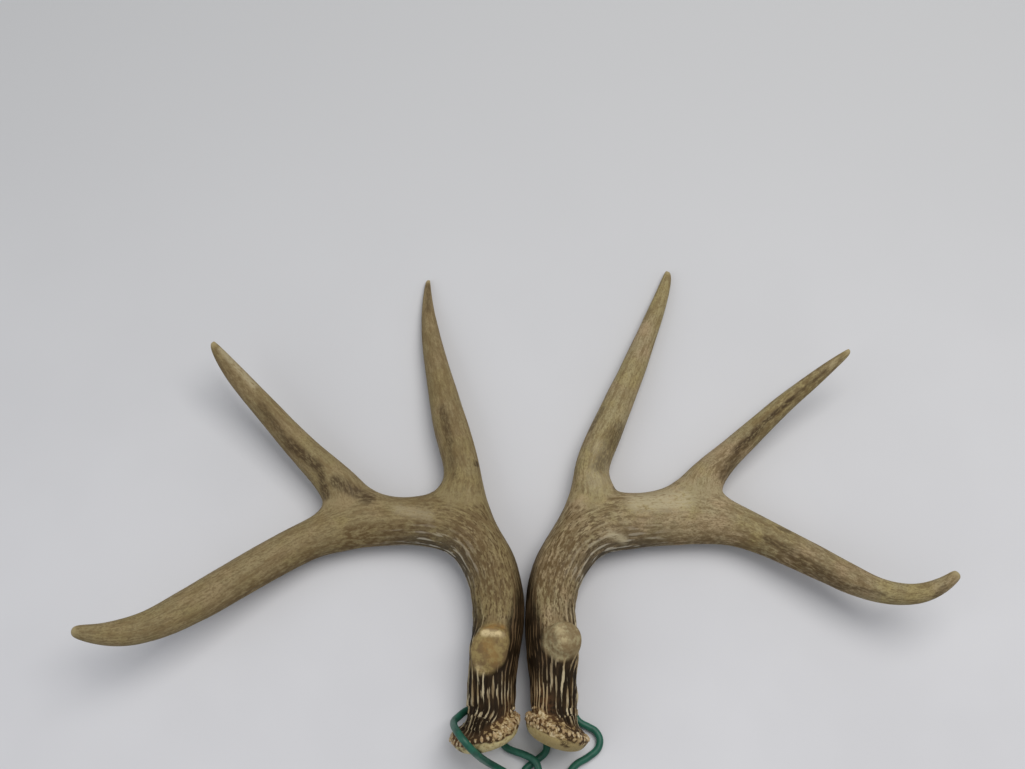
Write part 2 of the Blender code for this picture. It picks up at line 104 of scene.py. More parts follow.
# %% Add the camera
PICTURE_WIDTH = 1025
FOCAL_PIXELS = 1237.0
CAMERA_PLACE = (-0.00511, -0.24511, 0.81350)
LOOK_DOWN = 68.0

bpy.ops.object.select_all(action="DESELECT")
bpy.ops.object.camera_add(location=CAMERA_PLACE, rotation=(math.radians(90.0 - LOOK_DOWN), 0, 0))
camera = bpy.context.active_object
camera.name = "photo_camera"
camera.data.sensor_width = 36.0
camera.data.lens = camera.data.sensor_width * FOCAL_PIXELS / PICTURE_WIDTH
camera.data.clip_start = 0.01
bpy.context.scene.camera = camera
print("lens", round(camera.data.lens, 1), "mm")

# %% [markdown]
# ## Floor and light
#
# The pair lies on a plain pale floor.  One wide lamp overhead and a little to the right gives
# the soft shadows, a weaker one from the left fills them, and the pale grey world lights the
# rest.  Square area lamps are chosen because their shadows have soft edges, as under studio
# light, and each is turned to face the middle of the pair.

# %% Add the floor and the lamps
FLOOR_SIZE = 8.0
FLOOR_HEIGHT = -0.0002     # just under the pair, so that no two faces coincide
WORLD_GREY = (0.90, 0.93, 1.0)
WORLD_STRENGTH = 0.42
# Name, place, size, power in watts, and colour of each lamp.
LAMPS = (
    ("overhead_lamp", (0.45, 0.35, 1.5), 1.1, 17.0, (1.0, 0.985, 0.96)),
    ("fill_lamp", (-1.3, -0.5, 1.1), 1.2, 5.0, (0.93, 0.96, 1.0)),
)

bpy.ops.mesh.primitive_plane_add(size=FLOOR_SIZE, location=(0.0, 0.0, FLOOR_HEIGHT))
floor = bpy.context.active_object
floor.name = "floor"


def add_softbox(name, location, size, power, tint):
    """A square lamp that faces the middle of the pair."""
    bpy.ops.object.light_add(type="AREA", location=location)
    lamp = bpy.context.active_object
    lamp.name = name
    lamp.data.size = size
    lamp.data.energy = power
    lamp.data.color = tint
    aim = -Vector(location)
    lamp.rotation_euler = aim.to_track_quat("-Z", "Y").to_euler()


for lamp_values in LAMPS:
    add_softbox(*lamp_values)
world = bpy.data.worlds.new("soft_studio")
bpy.context.scene.world = world
world.use_nodes = True
backdrop = world.node_tree.nodes["Background"]
backdrop.inputs["Color"].default_value = (*WORLD_GREY, 1.0)
backdrop.inputs["Strength"].default_value = WORLD_STRENGTH
bpy.context.scene.view_settings.view_transform = "Standard"

# %% [markdown]
# ## The tie cord
#
# A cord is a fixed length of something limp.  It could be a simulated rope, but this one lies
# still, so a curve through listed points is enough.  From one side of the knot it runs
# along the floor and under the right beam, round in front of the knot, up and over the left
# burr, back under the left beam, and over its own first stretch into the knot again.  A round
# bevel gives the curve its thickness.

# %% The cord's route
CORD_DIAMETER = 0.0046
CORD_STEP = 0.0012         # between the points of the finished curve
CORD_ROUNDNESS = 6         # its bevel's resolution
CORD_ROUTE = (
    (0.0000, -0.0268, 0.0030),
    (0.0019, -0.0208, 0.0026),
    (0.0132, -0.0120, 0.0025),
    (0.0153, -0.0062, 0.0025),
    (0.0142, 0.0006, 0.0025),
    (0.0150, 0.0078, 0.0025),
    (0.0179, 0.0140, 0.0025),
    (0.0244, 0.0168, 0.0025),
    (0.0310, 0.0142, 0.0025),
    (0.0358, 0.0080, 0.0025),
    (0.0414, 0.0049, 0.0025),
    (0.0462, 0.0021, 0.0025),
    (0.0488, -0.0032, 0.0025),
    (0.0470, -0.0092, 0.0025),
    (0.0406, -0.0142, 0.0025),
    (0.0314, -0.0204, 0.0025),
    (0.0190, -0.0392, 0.0025),
    (0.0056, -0.0470, 0.0025),
    (-0.0052, -0.0398, 0.0025),
    (-0.0070, -0.0308, 0.0026),
    (-0.0098, -0.0242, 0.0030),
    (-0.0162, -0.0204, 0.0062),
    (-0.0226, -0.0178, 0.0176),
    (-0.0271, -0.0159, 0.0330),
    (-0.0292, -0.0146, 0.0396),
    (-0.0323, -0.0120, 0.0440),
    (-0.0358, -0.0082, 0.0457),
    (-0.0389, -0.0042, 0.0432),
    (-0.0412, -0.0004, 0.0360),
    (-0.0427, 0.0030, 0.0266),
    (-0.0430, 0.0064, 0.0176),
    (-0.0413, 0.0092, 0.0120),
    (-0.0354, 0.0146, 0.0054),
    (-0.0254, 0.0173, 0.0027),
    (-0.0166, 0.0116, 0.0026),
    (-0.0138, 0.0014, 0.0026),
    (-0.0108, -0.0076, 0.0027),
    (0.0022, -0.0132, 0.0061),
    (0.0084, -0.0177, 0.0076),
    (0.0106, -0.0270, 0.0073),
)


def add_cord_curve(name, strands, step):
    """One curve object with a round tube along each strand."""
    curve = bpy.data.curves.new(name, "CURVE")
    curve.dimensions = "3D"
    curve.bevel_depth = CORD_DIAMETER / 2.0
    curve.bevel_resolution = CORD_ROUNDNESS
    curve.use_fill_caps = True
    length = 0.0
    for strand in strands:
        points = [place(point) for point in smooth_line(strand, step)]
        length += sum((b - a).length for a, b in zip(points, points[1:]))
        spline = curve.splines.new("POLY")
        spline.points.add(len(points) - 1)
        for target, point in zip(spline.points, points):
            target.co = (*point, 1.0)
        spline.use_smooth = True
    piece = bpy.data.objects.new(name, curve)
    bpy.context.scene.collection.objects.link(piece)
    return piece, length


cord, cord_length = add_cord_curve("green_tie_cord", [CORD_ROUTE], CORD_STEP)
print("cord length", round(cord_length, 4), "m")

# %% [markdown]
# ## The knot
#
# The photograph's edge cuts the knot off, so it is a plain one.  One end of the cord runs
# straight through, and the other winds round it twice and comes out beside it.  Both end in a
# short tail.

# %% The two strands of the knot
CORE_STRAND = (
    (0.0000, -0.0268, 0.0030),
    (0.0014, -0.0292, 0.0040),
    (0.0044, -0.0316, 0.0058),
    (0.0072, -0.0340, 0.0058),
    (0.0090, -0.0368, 0.0044),
    (0.0106, -0.0406, 0.0027),
)
WRAP_LEAD = ((0.0106, -0.0270, 0.0073), (0.0108, -0.0284, 0.0070))
WRAP_TAIL = ((0.0022, -0.0362, 0.0040), (0.0008, -0.0404, 0.0027))
WRAP_CENTRE = (0.0054, -0.0325, 0.0060)
WRAP_REACH = (0.0058, 0.0029, 0.0031)
WRAP_TURNS = 2.0
WRAP_STEPS = 26


def wrap_points():
    """Points that wind round the knot's core and creep along it."""
    points = []
    for i in range(WRAP_STEPS + 1):
        share = i / WRAP_STEPS
        angle = 2.0 * math.pi * WRAP_TURNS * share
        across = WRAP_CENTRE[0] + WRAP_REACH[0] * math.cos(angle)
        along = WRAP_CENTRE[1] + WRAP_REACH[1] * (1.0 - 2.0 * share)
        above = WRAP_CENTRE[2] - WRAP_REACH[2] * math.sin(angle)
        points.append((across, along, above))
    return points


wrap_strand = (*WRAP_LEAD, *wrap_points(), *WRAP_TAIL)
knot, _ = add_cord_curve("green_tie_knot", [CORE_STRAND, wrap_strand], CORD_STEP)
print("knot spans", [round(v * 1000, 1) for v in knot.dimensions], "mm")

# %% [markdown]
# ## How an antler is measured
#
# An antler is a bent cone with branches.  Each row of a table is one station on it: the middle
# of the section, half its width in the antler's own plane, and half its thickness.  The burr
# is the ring of bone that met the skull, the brow stub is a sawn tine, and the second and
# third tines stand on the beam at the ring that is named with them.  A row of pearls has its
# place behind the burr, its number, a pearl's width and length, and how far inwards it starts.
# Each stain runs from one place to another in the antler's plane, with its half width and its
# strength: dark bark, broad brown that is partly painted shade, rust, worn pale, or grainy where
# the rim's grains spread.

# %% The left antler, in millimetres
LEFT = {
    "turn": 1,             # seen along the beam, the tines grow on the right, and -1 is the left
    "shifts": (7.0, 3.1),  # where the noises of the ridges and of the pearls are read
    "aged": 0.60,
    "burr": {
        "centre": (-24.0, 1.8, 21.9),
        "yaw": 19.0,
        "lean": 22.0,
        "rim": (21.9, 23.2),
        "depth": 12.2,
    },
    "pearls": (
        (0.2, 36, 2.1, 4.4, -1.0),
        (3.0, 33, 1.5, 2.6, 0.45),
        (5.4, 34, 1.3, 2.2, 0.45),
    ),
    "stub": {
        "ring": 3,
        "shoulder": (-21.6, 48.6, 37.8, 11.3, 15.9),
        "top": (-21.5, 49.8, 41.3, 8.2, 11.4),
        "slope": 24.0,
        "twist": -17.0,
        "gold": 1.0,
    },
    "beam": (
        (-19.35, 11.5, 22.0, 14.95, 14.7),
        (-19.55, 22.0, 21.6, 14.85, 14.7),
        (-19.3, 34.0, 21.0, 15.2, 14.7),
        (-18.1, 46.5, 20.5, 15.6, 14.8),
        (-16.1, 60.0, 20.0, 16.1, 14.8),
        (-15.2, 72.0, 19.4, 16.3, 14.9),
        (-15.7, 84.0, 18.8, 16.8, 15.0),
        (-18.0, 96.0, 18.2, 16.8, 15.1),
        (-21.95, 108.0, 17.5, 17.45, 15.1),
        (-31.2, 122.9, 16.7, 17.4, 14.9),
        (-45.8, 132.5, 15.8, 17.2, 14.4),
        (-65.0, 136.5, 14.7, 16.0, 14.0),
        (-96.0, 136.5, 13.8, 16.0, 13.8),
        (-114.0, 133.5, 14.0, 15.8, 13.6),
        (-133.0, 127.0, 15.0, 13.6, 12.6),
        (-147.0, 120.5, 16.5, 12.7, 12.0),
        (-178.0, 100.3, 22.2, 12.7, 11.4),
        (-205.0, 79.2, 31.0, 12.4, 11.0),
        (-231.0, 61.7, 40.5, 10.4, 9.6),
        (-248.0, 55.8, 46.5, 8.6, 8.2),
        (-261.0, 54.2, 51.0, 6.5, 6.2),
        (-271.0, 55.0, 54.0, 4.9, 4.6),
        (-277.0, 55.8, 55.3, 2.8, 2.8),
    ),
    "tines": (
        {
            "ring": 10,
            "stations": (
                (-40.8, 157.0, 15.4, 16.0, 13.2),
                (-39.8, 168.5, 15.1, 12.3, 12.2),
                (-43.6, 186.0, 14.3, 12.3, 11.4),
                (-50.0, 207.0, 13.2, 12.4, 10.8),
                (-57.6, 239.0, 11.0, 9.5, 9.0),
                (-64.4, 271.0, 8.2, 7.1, 6.9),
                (-67.9, 296.0, 5.2, 4.7, 4.5),
                (-68.5, 313.0, 3.0, 2.6, 2.6),
                (-68.4, 322.0, 1.9, 1.6, 1.6),
            ),
        },
        {
            "ring": 13,
            "stations": (
                (-120.8, 158.0, 14.6, 14.2, 12.2),
                (-131.6, 169.8, 15.6, 11.8, 10.8),
                (-148.8, 185.3, 18.0, 9.9, 9.4),
                (-181.8, 219.8, 27.0, 7.9, 7.4),
                (-194.8, 233.6, 32.0, 6.8, 6.4),
                (-205.0, 245.5, 36.5, 4.9, 4.6),
                (-212.2, 255.2, 40.3, 2.3, 2.3),
            ),
        },
    ),
    "stains": (
        ("dark", (-176.0, 211.0), (-156.7, 187.1), 3.2, 0.65),
        ("dark", (-156.7, 187.1), (-135.8, 169.6), 3.8, 0.9),
        ("dark", (-135.8, 169.6), (-130.0, 151.5), 3.2, 0.85),
        ("dark", (-124.0, 160.5), (-101.5, 149.0), 4.8, 0.85),
        ("brown_and_shade", (-211.0, 250.0), (-180.0, 212.0), 3.8, 0.55),
        ("brown_and_shade", (-180.0, 212.0), (-150.0, 180.0), 6.0, 0.50),
        ("pale", (-205.0, 250.0), (-182.0, 226.0), 2.6, 0.6),
        ("dark", (-54.4, 214.0), (-48.8, 188.2), 3.0, 0.7),
        ("dark", (-48.8, 188.2), (-45.4, 164.2), 2.5, 0.45),
        ("dark", (-67.9, 317.0), (-67.5, 294.0), 2.2, 0.6),
        ("dark", (-30.9, 175.4), (-30.9, 173.4), 1.6, 1.0),
        ("pale", (-24.2, 56.8), (-13.0, 55.8), 2.2, 0.9),
        ("pale", (-28.4, 36.6), (-25.6, 33.6), 3.0, 0.40),
        ("rust", (-23.5, 61.5), (-13.5, 61.5), 2.6, 0.9),
        ("rust", (-22.0, 50.0), (-18.0, 42.0), 4.5, 0.55),
        ("grainy", (-15.0, -3.0), (-3.0, 6.0), 8.0, 1.0),
        ("dark", (-44.0, -8.5), (-38.0, -13.0), 3.0, 0.8),
        ("pale", (-82.4, 141.3), (-61.9, 135.9), 4.0, 0.35),
        ("rust", (-45.7, -2.7), (-40.2, -11.1), 5.0, 0.9),
        ("brown_and_shade", (-46.0, 178.0), (-66.5, 290.0), 9.0, 0.40),
        ("brown_and_shade", (-14.0, 84.0), (-38.0, 128.0), 11.0, 0.70),
        ("brown_and_shade", (-20.0, 66.0), (-17.0, 84.0), 9.0, 0.25),
        ("brown_and_shade", (-66.0, 126.0), (-112.0, 124.0), 7.0, 0.95),
    ),
}
print("left beam has", len(LEFT["beam"]), "stations")

# %% [markdown]
# ## The other antler
#
# A mirror modifier could make the second antler from the first.  But a deer's two antlers are
# alike without being mirror images, so the right one has a table of its own: its burr leans
# less, its bone is less aged, and its tip hooks towards the tines.

# %% The right antler, in millimetres
RIGHT = {
    "turn": -1,
    "shifts": (19.0, 8.4),
    "aged": 0.08,
    "burr": {
        "centre": (21.7, 2.1, 22.2),
        "yaw": -21.0,
        "lean": 10.0,
        "rim": (20.3, 22.8),
        "depth": 12.4,
    },
    "pearls": (
        (-2.4, 35, 1.5, 2.1, 0.0),
        (0.2, 37, 1.8, 3.0, -1.0),
        (2.8, 36, 1.5, 2.4, -1.0),
        (5.4, 34, 1.3, 2.1, 0.0),
    ),
    "stub": {
        "ring": 3,
        "shoulder": (26.8, 53.8, 37.0, 12.3, 12.0),
        "top": (25.6, 54.2, 42.2, 8.6, 9.0),
        "slope": 12.0,
        "twist": 0.0,
        "gold": 0.0,
    },
    "beam": (
        (18.75, 11.5, 22.0, 14.85, 14.7),
        (19.05, 22.0, 21.6, 14.45, 14.7),
        (18.95, 34.0, 21.0, 14.75, 14.7),
        (19.1, 46.5, 20.5, 16.1, 14.8),
        (17.9, 60.0, 20.0, 16.5, 14.8),
        (17.5, 72.0, 19.4, 16.0, 14.9),
        (18.0, 84.0, 18.8, 16.3, 15.0),
        (20.8, 96.0, 18.2, 16.5, 15.1),
        (26.0, 108.0, 17.5, 17.3, 15.1),
        (34.6, 120.9, 16.7, 17.3, 14.9),
        (48.4, 131.0, 15.8, 17.7, 14.4),
        (66.5, 136.0, 14.7, 18.8, 14.0),
        (98.0, 138.5, 13.8, 18.0, 13.8),
        (119.0, 139.0, 14.0, 17.6, 13.6),
        (140.0, 134.5, 15.0, 14.0, 12.4),
        (157.5, 126.0, 16.6, 11.9, 11.5),
        (173.0, 118.0, 19.0, 11.2, 11.0),
        (209.0, 95.8, 26.4, 9.7, 9.4),
        (224.0, 86.8, 30.6, 8.2, 8.0),
        (240.0, 82.0, 36.0, 7.0, 6.8),
        (252.0, 81.8, 41.0, 6.3, 6.1),
        (262.5, 85.3, 46.0, 5.1, 4.9),
        (269.0, 89.4, 49.4, 3.9, 3.8),
        (273.2, 92.9, 51.4, 2.9, 2.9),
    ),
    "tines": (
        {
            "ring": 10,
            "stations": (
                (47.6, 157.0, 15.4, 15.2, 13.2),
                (46.2, 169.0, 15.1, 11.7, 12.1),
                (49.2, 181.5, 14.4, 11.9, 11.3),
                (57.5, 200.0, 13.4, 11.3, 10.6),
                (78.1, 247.0, 10.2, 9.1, 8.6),
                (97.8, 296.5, 5.8, 6.0, 5.4),
                (104.6, 316.0, 4.0, 4.4, 3.9),
                (108.0, 328.5, 2.6, 2.5, 2.4),
            ),
        },
        {
            "ring": 13,
            "stations": (
                (121.5, 163.5, 14.6, 13.2, 11.8),
                (131.5, 175.5, 15.6, 10.3, 10.0),
                (147.0, 188.8, 17.6, 8.5, 8.4),
                (180.6, 218.3, 25.5, 6.4, 6.4),
                (198.1, 230.9, 30.5, 5.2, 5.2),
                (213.3, 242.3, 35.3, 3.7, 3.7),
                (224.2, 249.8, 39.0, 2.0, 2.0),
            ),
        },
    ),
    "stains": (
        ("dark", (206.0, 235.5), (184.5, 218.3), 1.5, 0.6),
        ("dark", (184.5, 218.3), (163.3, 201.3), 1.7, 1.0),
        ("dark", (160.5, 197.6), (144.8, 182.6), 3.1, 1.0),
        ("brown_and_shade", (226.0, 249.0), (208.0, 234.0), 2.6, 0.7),
        ("dark", (144.8, 182.6), (134.3, 165.5), 3.5, 0.7),
        ("dark", (65.5, 201.0), (51.5, 170.5), 4.8, 0.65),
        ("dark", (55.5, 215.2), (46.2, 198.4), 1.4, 0.6),
        ("dark", (61.9, 157.3), (105.7, 167.6), 2.0, 0.7),
        ("dark", (158.9, 120.6), (169.6, 114.5), 2.5, 0.7),
        ("dark", (169.6, 114.5), (203.4, 89.8), 3.8, 0.6),
        ("dark", (203.4, 89.8), (228.5, 81.6), 1.5, 0.6),
        ("dark", (262.8, 83.4), (258.6, 79.0), 2.6, 0.6),
        ("dark", (168.3, 128.7), (174.8, 125.8), 1.8, 0.6),
        ("dark", (18.8, 56.2), (20.4, 50.6), 1.3, 0.5),
        ("pale", (23.0, 60.2), (26.0, 53.0), 3.0, 0.35),
        ("brown_and_shade", (12.0, -10.0), (32.0, -12.0), 14.0, 0.75),
        ("dark", (23.6, -9.2), (26.8, -10.0), 1.5, 1.0),
        ("dark", (41.0, -9.0), (37.5, -12.5), 2.2, 0.7),
        ("grainy", (4.0, 8.0), (20.0, -2.0), 9.0, 1.0),
        ("grainy", (20.0, -2.0), (40.0, -6.0), 7.0, 0.75),
        ("pale", (57.1, 124.4), (66.8, 121.1), 2.6, 0.7),
        ("pale", (76.0, 146.0), (106.0, 148.0), 8.0, 0.75),
        ("pale", (50.0, 160.0), (54.0, 182.0), 8.0, 0.35),
        ("rust", (10.0, 22.0), (14.0, 6.0), 7.0, 0.55),
        ("brown_and_shade", (130.0, 170.0), (205.0, 236.0), 7.0, 0.70),
        ("brown_and_shade", (12.0, 84.0), (30.0, 118.0), 9.0, 0.85),
        ("brown_and_shade", (20.0, 68.0), (22.0, 84.0), 9.0, 0.25),
        ("brown_and_shade", (150.0, 130.0), (215.0, 92.0), 9.0, 0.45),
    ),
}

MEASURES = {"left": LEFT, "right": RIGHT}
for side, measures in MEASURES.items():
    tine_stations = sum(len(tine["stations"]) for tine in measures["tines"])
    print(side, "antler:", len(measures["beam"]), "stations on the beam,", tine_stations,
          "on its tines and", len(measures["stains"]), "stains")

# %% [markdown]
# ## From stations to sections
#
# A section needs one thing more than its station gives: the way it faces.  That is the
# direction of travel from the station before to the one after, kept here as a turn about the
# upright (yaw) and a tilt (pitch).  Near the burr the sections share the burr's own plane.
# The seal bulges in front of it, and behind it the rim's flare runs down to the beam.

# %% Work out the sections
SEAL_ROWS = ((1.0, 0.34), (0.84, 0.70), (0.60, 0.90), (0.28, 0.98))   # shares of depth and rim
RIM_ROWS = ((0.0, 1.04), (2.4, 0.95), (4.6, 0.72))                    # behind the burr, and share
BURR_ROWS = len(SEAL_ROWS) + len(RIM_ROWS)
BURR_BLEND = (4.0, 30.0)   # over this stretch the sections turn from the burr's plane


def directions(stations):
    """The unit direction of travel at each station."""
    points = [Vector(station[:3]) for station in stations]
    last = len(points) - 1
    steps = [points[min(i + 1, last)] - points[max(i - 1, 0)] for i in range(len(points))]
    return [step.normalized() for step in steps]


def section(station, facing):
    """One section: its middle in the model, its facing, and its two half sizes."""
    return {
        "middle": place(Vector(station[:3]) * MM),
        "facing": facing,
        "yaw": math.atan2(-facing.x, facing.y),
        "pitch": math.asin(max(-1.0, min(1.0, facing.z))),
        "half": (station[3] * MM, station[4] * MM),
    }


def burr_facing(burr):
    """The direction from the seal into the beam, square to the burr's plane."""
    yaw, lean = math.radians(burr["yaw"]), math.radians(burr["lean"])
    level = Vector((-math.sin(yaw), math.cos(yaw), 0.0))
    return level * math.cos(lean) + UP * math.sin(lean)


def beam_sections(measures):
    """All sections from the seal to the beam's tip."""
    burr, stations = measures["burr"], measures["beam"]
    centre, facing = Vector(burr["centre"]), burr_facing(burr)
    into = (Vector(stations[0][:3]) - centre).normalized()
    stops = [(-burr["depth"] * depth, share) for depth, share in SEAL_ROWS] + list(RIM_ROWS)
    rows = []
    for distance, share in stops:
        at = centre + (facing if distance < 0.0 else into) * distance
        rows.append(section((*at, burr["rim"][0] * share, burr["rim"][1] * share), facing))
    for station, travel in zip(stations, directions(stations)):
        away = (Vector(station[:3]) - centre).length
        rows.append(section(station, facing.slerp(travel, float(rise(away, *BURR_BLEND)))))
    return rows


def tine_sections(tine):
    """All sections of one tine."""
    stations = tine["stations"]
    return [section(station, travel) for station, travel in zip(stations, directions(stations))]


print("sections on the left beam", len(beam_sections(LEFT)))

# %% [markdown]
# ## Growing a beam by extrusion
#
# A grown shape suits the oldest way to model: start from one face and extrude it from station
# to station.  The start is an eight-cornered circle at the seal.  Each step moves the face on,
# turns it back square to the Y axis, sizes it there, and turns it to its new facing.  Eight
# corners are enough, because subdivision rounds them later.

# %% The steps of an extrusion
CORNERS = 8
DRAW_IN = 0.902            # how far many subdivisions draw an eight-cornered ring in


def turn_face(middle, yaw, pitch, back=False):
    """Turn what is selected from facing +Y to its own facing, or back again."""
    turns = [(-yaw, "Z"), (-pitch, "X")] if back else [(pitch, "X"), (yaw, "Z")]
    for angle, axis in turns:
        bpy.ops.transform.rotate(value=-angle, orient_axis=axis, center_override=middle)


def size_face(middle, sizes):
    """Scale what is selected across the branch."""
    bpy.ops.transform.resize(value=(sizes[0], 1.0, sizes[1]), center_override=middle)


def extrude_to(before, after):
    """Extrude the selected face from one section to the next."""
    step = after["middle"] - before["middle"]
    bpy.ops.mesh.extrude_region_move(TRANSFORM_OT_translate={"value": step})
    turn_face(after["middle"], before["yaw"], before["pitch"], back=True)
    size_face(after["middle"], [b / a for a, b in zip(before["half"], after["half"])])
    turn_face(after["middle"], after["yaw"], after["pitch"])


def start_beam(name, first):
    """Add the eight-cornered face of the first section."""
    bpy.ops.object.select_all(action="DESELECT")
    bpy.ops.mesh.primitive_circle_add(vertices=CORNERS, radius=1.0, fill_type="NGON")
    cage = bpy.context.active_object
    cage.name = name
    bpy.ops.object.mode_set(mode="EDIT")
    bpy.ops.transform.rotate(value=-math.radians(90.0), orient_axis="X", center_override=(0, 0, 0))
    size_face((0, 0, 0), [half / DRAW_IN for half in first["half"]])
    turn_face((0, 0, 0), first["yaw"], first["pitch"])
    bpy.ops.transform.translate(value=first["middle"])
    return cage


print("each ring is drawn", round(100.0 / DRAW_IN - 100.0, 1), "% wider than its section")

# %% [markdown]
# ## Branching
#
# A tine grows from the four faces round one corner of a ring.  Extruded together they carry an
# eight-cornered rim, which is first flattened and made round, and then grows on like the beam.
# The brow stub starts in the same way from the corner on top of its ring, and ends in a smaller
# flat face.  Blender may number new corners differently from run to run, so they are sorted by
# place, and every run gives the same mesh.

# %% Grow a branch from the side of a beam
STUB_FACE = 0.55           # the flat face's share of the stub's top


def select_faces_round(cage, spot):
    """Select the faces round the cage corner nearest to a spot, and give their middle."""
    mesh = bmesh.from_edit_mesh(cage.data)
    bpy.ops.mesh.select_all(action="DESELECT")
    corner = min(mesh.verts, key=lambda vert: (vert.co - spot).length)
    for face in corner.link_faces:
        face.select_set(True)
    mesh.select_flush_mode()
    bmesh.update_edit_mesh(cage.data)
    rim = [vert.co for vert in mesh.verts if vert.select]
    return sum(rim, Vector()) / len(rim)


def settle_order():
    """Number the selected corners, edges and faces by their distance from the origin."""
    bpy.ops.mesh.sort_elements(type="CURSOR_DISTANCE", elements={"VERT", "EDGE", "FACE"})


def selected_reach(cage, middle):
    """How far the selected corners reach from a middle, along X and along Z."""
    mesh = bmesh.from_edit_mesh(cage.data)
    offsets = [vert.co - middle for vert in mesh.verts if vert.select]
    return [max(abs(offset[axis]) for offset in offsets) for axis in (0, 2)]


def start_branch(cage, spot, first):
    """Extrude the faces round a corner into the first section of a branch."""
    bpy.ops.mesh.select_all(action="SELECT")
    settle_order()
    middle = select_faces_round(cage, spot)
    at = first["middle"]
    bpy.ops.mesh.extrude_region_move(TRANSFORM_OT_translate={"value": at - middle})
    settle_order()
    turn_face(at, first["yaw"], first["pitch"], back=True)
    bpy.ops.transform.resize(value=(1.0, 0.0, 1.0), center_override=at)
    reach = selected_reach(cage, at)
    size_face(at, [first["half"][0] / value for value in reach])
    bpy.ops.transform.tosphere(value=1.0)
    reach = selected_reach(cage, at)
    size_face(at, [half / DRAW_IN / value for half, value in zip(first["half"], reach)])
    turn_face(at, first["yaw"], first["pitch"])


def side_corner(ring, turn, angle=0.0):
    """The place of a ring's corner: 0 degrees faces the tines' side, 90 degrees up."""
    side = ring["facing"].cross(UP).normalized() * turn
    above = side.cross(ring["facing"]).normalized() * turn
    turned = math.radians(angle)
    offset = side * ring["half"][0] * math.cos(turned) + above * ring["half"][1] * math.sin(turned)
    return ring["middle"] + offset / DRAW_IN


print("a stub's flat face is", STUB_FACE, "times as wide as its top")

# %% [markdown]
# ## One bone, one mesh
#
# Burr, beam, tines and stub are one grown bone.  Separate tubes could be joined by a boolean
# modifier, but it leaves a sharp crease round each fork, where bone flows on smoothly.  Grown
# from each other's faces they share their corners, and the next step can round the forks.

# %% Grow both antlers


def grow_antler(name, measures):
    """The cage of one antler: beam, tines and brow stub in one mesh."""
    beam = beam_sections(measures)
    cage = start_beam(name, beam[0])
    for before, after in zip(beam, beam[1:]):
        extrude_to(before, after)
    for tine in measures["tines"]:
        rings = tine_sections(tine)
        foot = beam[tine["ring"] + BURR_ROWS]
        start_branch(cage, side_corner(foot, measures["turn"]), rings[0])
        for before, after in zip(rings, rings[1:]):
            extrude_to(before, after)
    stub = measures["stub"]
    slope = math.radians(stub["slope"])
    facing = Vector((0.0, -math.sin(slope), math.cos(slope)))
    shoulder, top = (section(stub[part], facing) for part in ("shoulder", "top"))
    for ring in (shoulder, top):
        ring["yaw"], ring["pitch"] = math.radians(stub["twist"]), math.radians(90.0) + slope
    foot = beam[stub["ring"] + BURR_ROWS]
    start_branch(cage, side_corner(foot, measures["turn"], 90.0), shoulder)
    extrude_to(shoulder, top)
    face = dict(top, half=[half * STUB_FACE for half in top["half"]])
    extrude_to(top, face)
    bpy.ops.mesh.select_all(action="SELECT")
    bpy.ops.mesh.normals_make_consistent(inside=False)
    settle_order()
    bpy.ops.object.mode_set(mode="OBJECT")
    print(name, "cage", len(cage.data.polygons), "faces")
    return cage


antlers = {side: grow_antler(side + "_antler", measures) for side, measures in MEASURES.items()}

# %% [markdown]
# ## Rounding
#
# Subdivision turns each eight-sided tube into a round one and blends the branches into the
# beam, as bone does.  Four levels put the corners about 0.7 mm apart on the lower beam, which
# is fine enough to carry its ridges.

# %% Subdivide both cages
SUBDIVISIONS = 4


def round_off(cage, levels):
    """Subdivide a cage and keep the result."""
    bpy.ops.object.select_all(action="DESELECT")
    cage.select_set(True)
    bpy.context.view_layer.objects.active = cage
    rounding = cage.modifiers.new("rounding", "SUBSURF")
    rounding.levels = levels
    rounding.render_levels = levels
    bpy.ops.object.modifier_apply(modifier=rounding.name)
    bpy.ops.object.shade_smooth()
    faces = len(cage.data.polygons)
    print(cage.name, faces * 2, "triangles")


for antler in antlers.values():
    round_off(antler, SUBDIVISIONS)

# %% [markdown]
# ## Straightened coordinates
#
# Ridges and streaks run along an antler and round it, so every corner of the mesh is given its
# place on the straightened branch: how far along, at which angle, and how far out.  A UV map
# could hold two of these, but it needs seams, and a forked branch can't be cut open evenly.  So
# a search tree finds the nearest point of a fine centreline, which gives all three.

# %% Find the nearest point of a centreline
LINE_STEP = 0.0005
END_ROOM = 0.2             # how far past the end of a line still counts as on it, in half sizes


def centreline(sections, turn, start=None):
    """A fine centreline with its cross axes, half sizes and length so far."""
    rows = [(*row["middle"], *row["half"]) for row in sections]
    if start is not None:
        rows.insert(0, (*start, *sections[0]["half"]))
    rows = smooth_line(rows, LINE_STEP)
    spots, halves = rows[:, :3], rows[:, 3:]
    facing = np.gradient(spots, axis=0)
    facing /= np.linalg.norm(facing, axis=1)[:, None]
    side = np.cross(facing, UP) * turn
    side /= np.linalg.norm(side, axis=1)[:, None]
    above = np.cross(side, facing) * turn
    strides = np.linalg.norm(np.diff(spots, axis=0), axis=1)
    along = np.concatenate(([0.0], np.cumsum(strides)))
    return {"spots": spots, "halves": halves, "facing": facing, "side": side,
            "above": above, "along": along}


def search_tree(points):
    """A tree that finds the nearest of many points."""
    tree = kdtree.KDTree(len(points))
    for index, point in enumerate(points):
        tree.insert(point, index)
    tree.balance()
    return tree


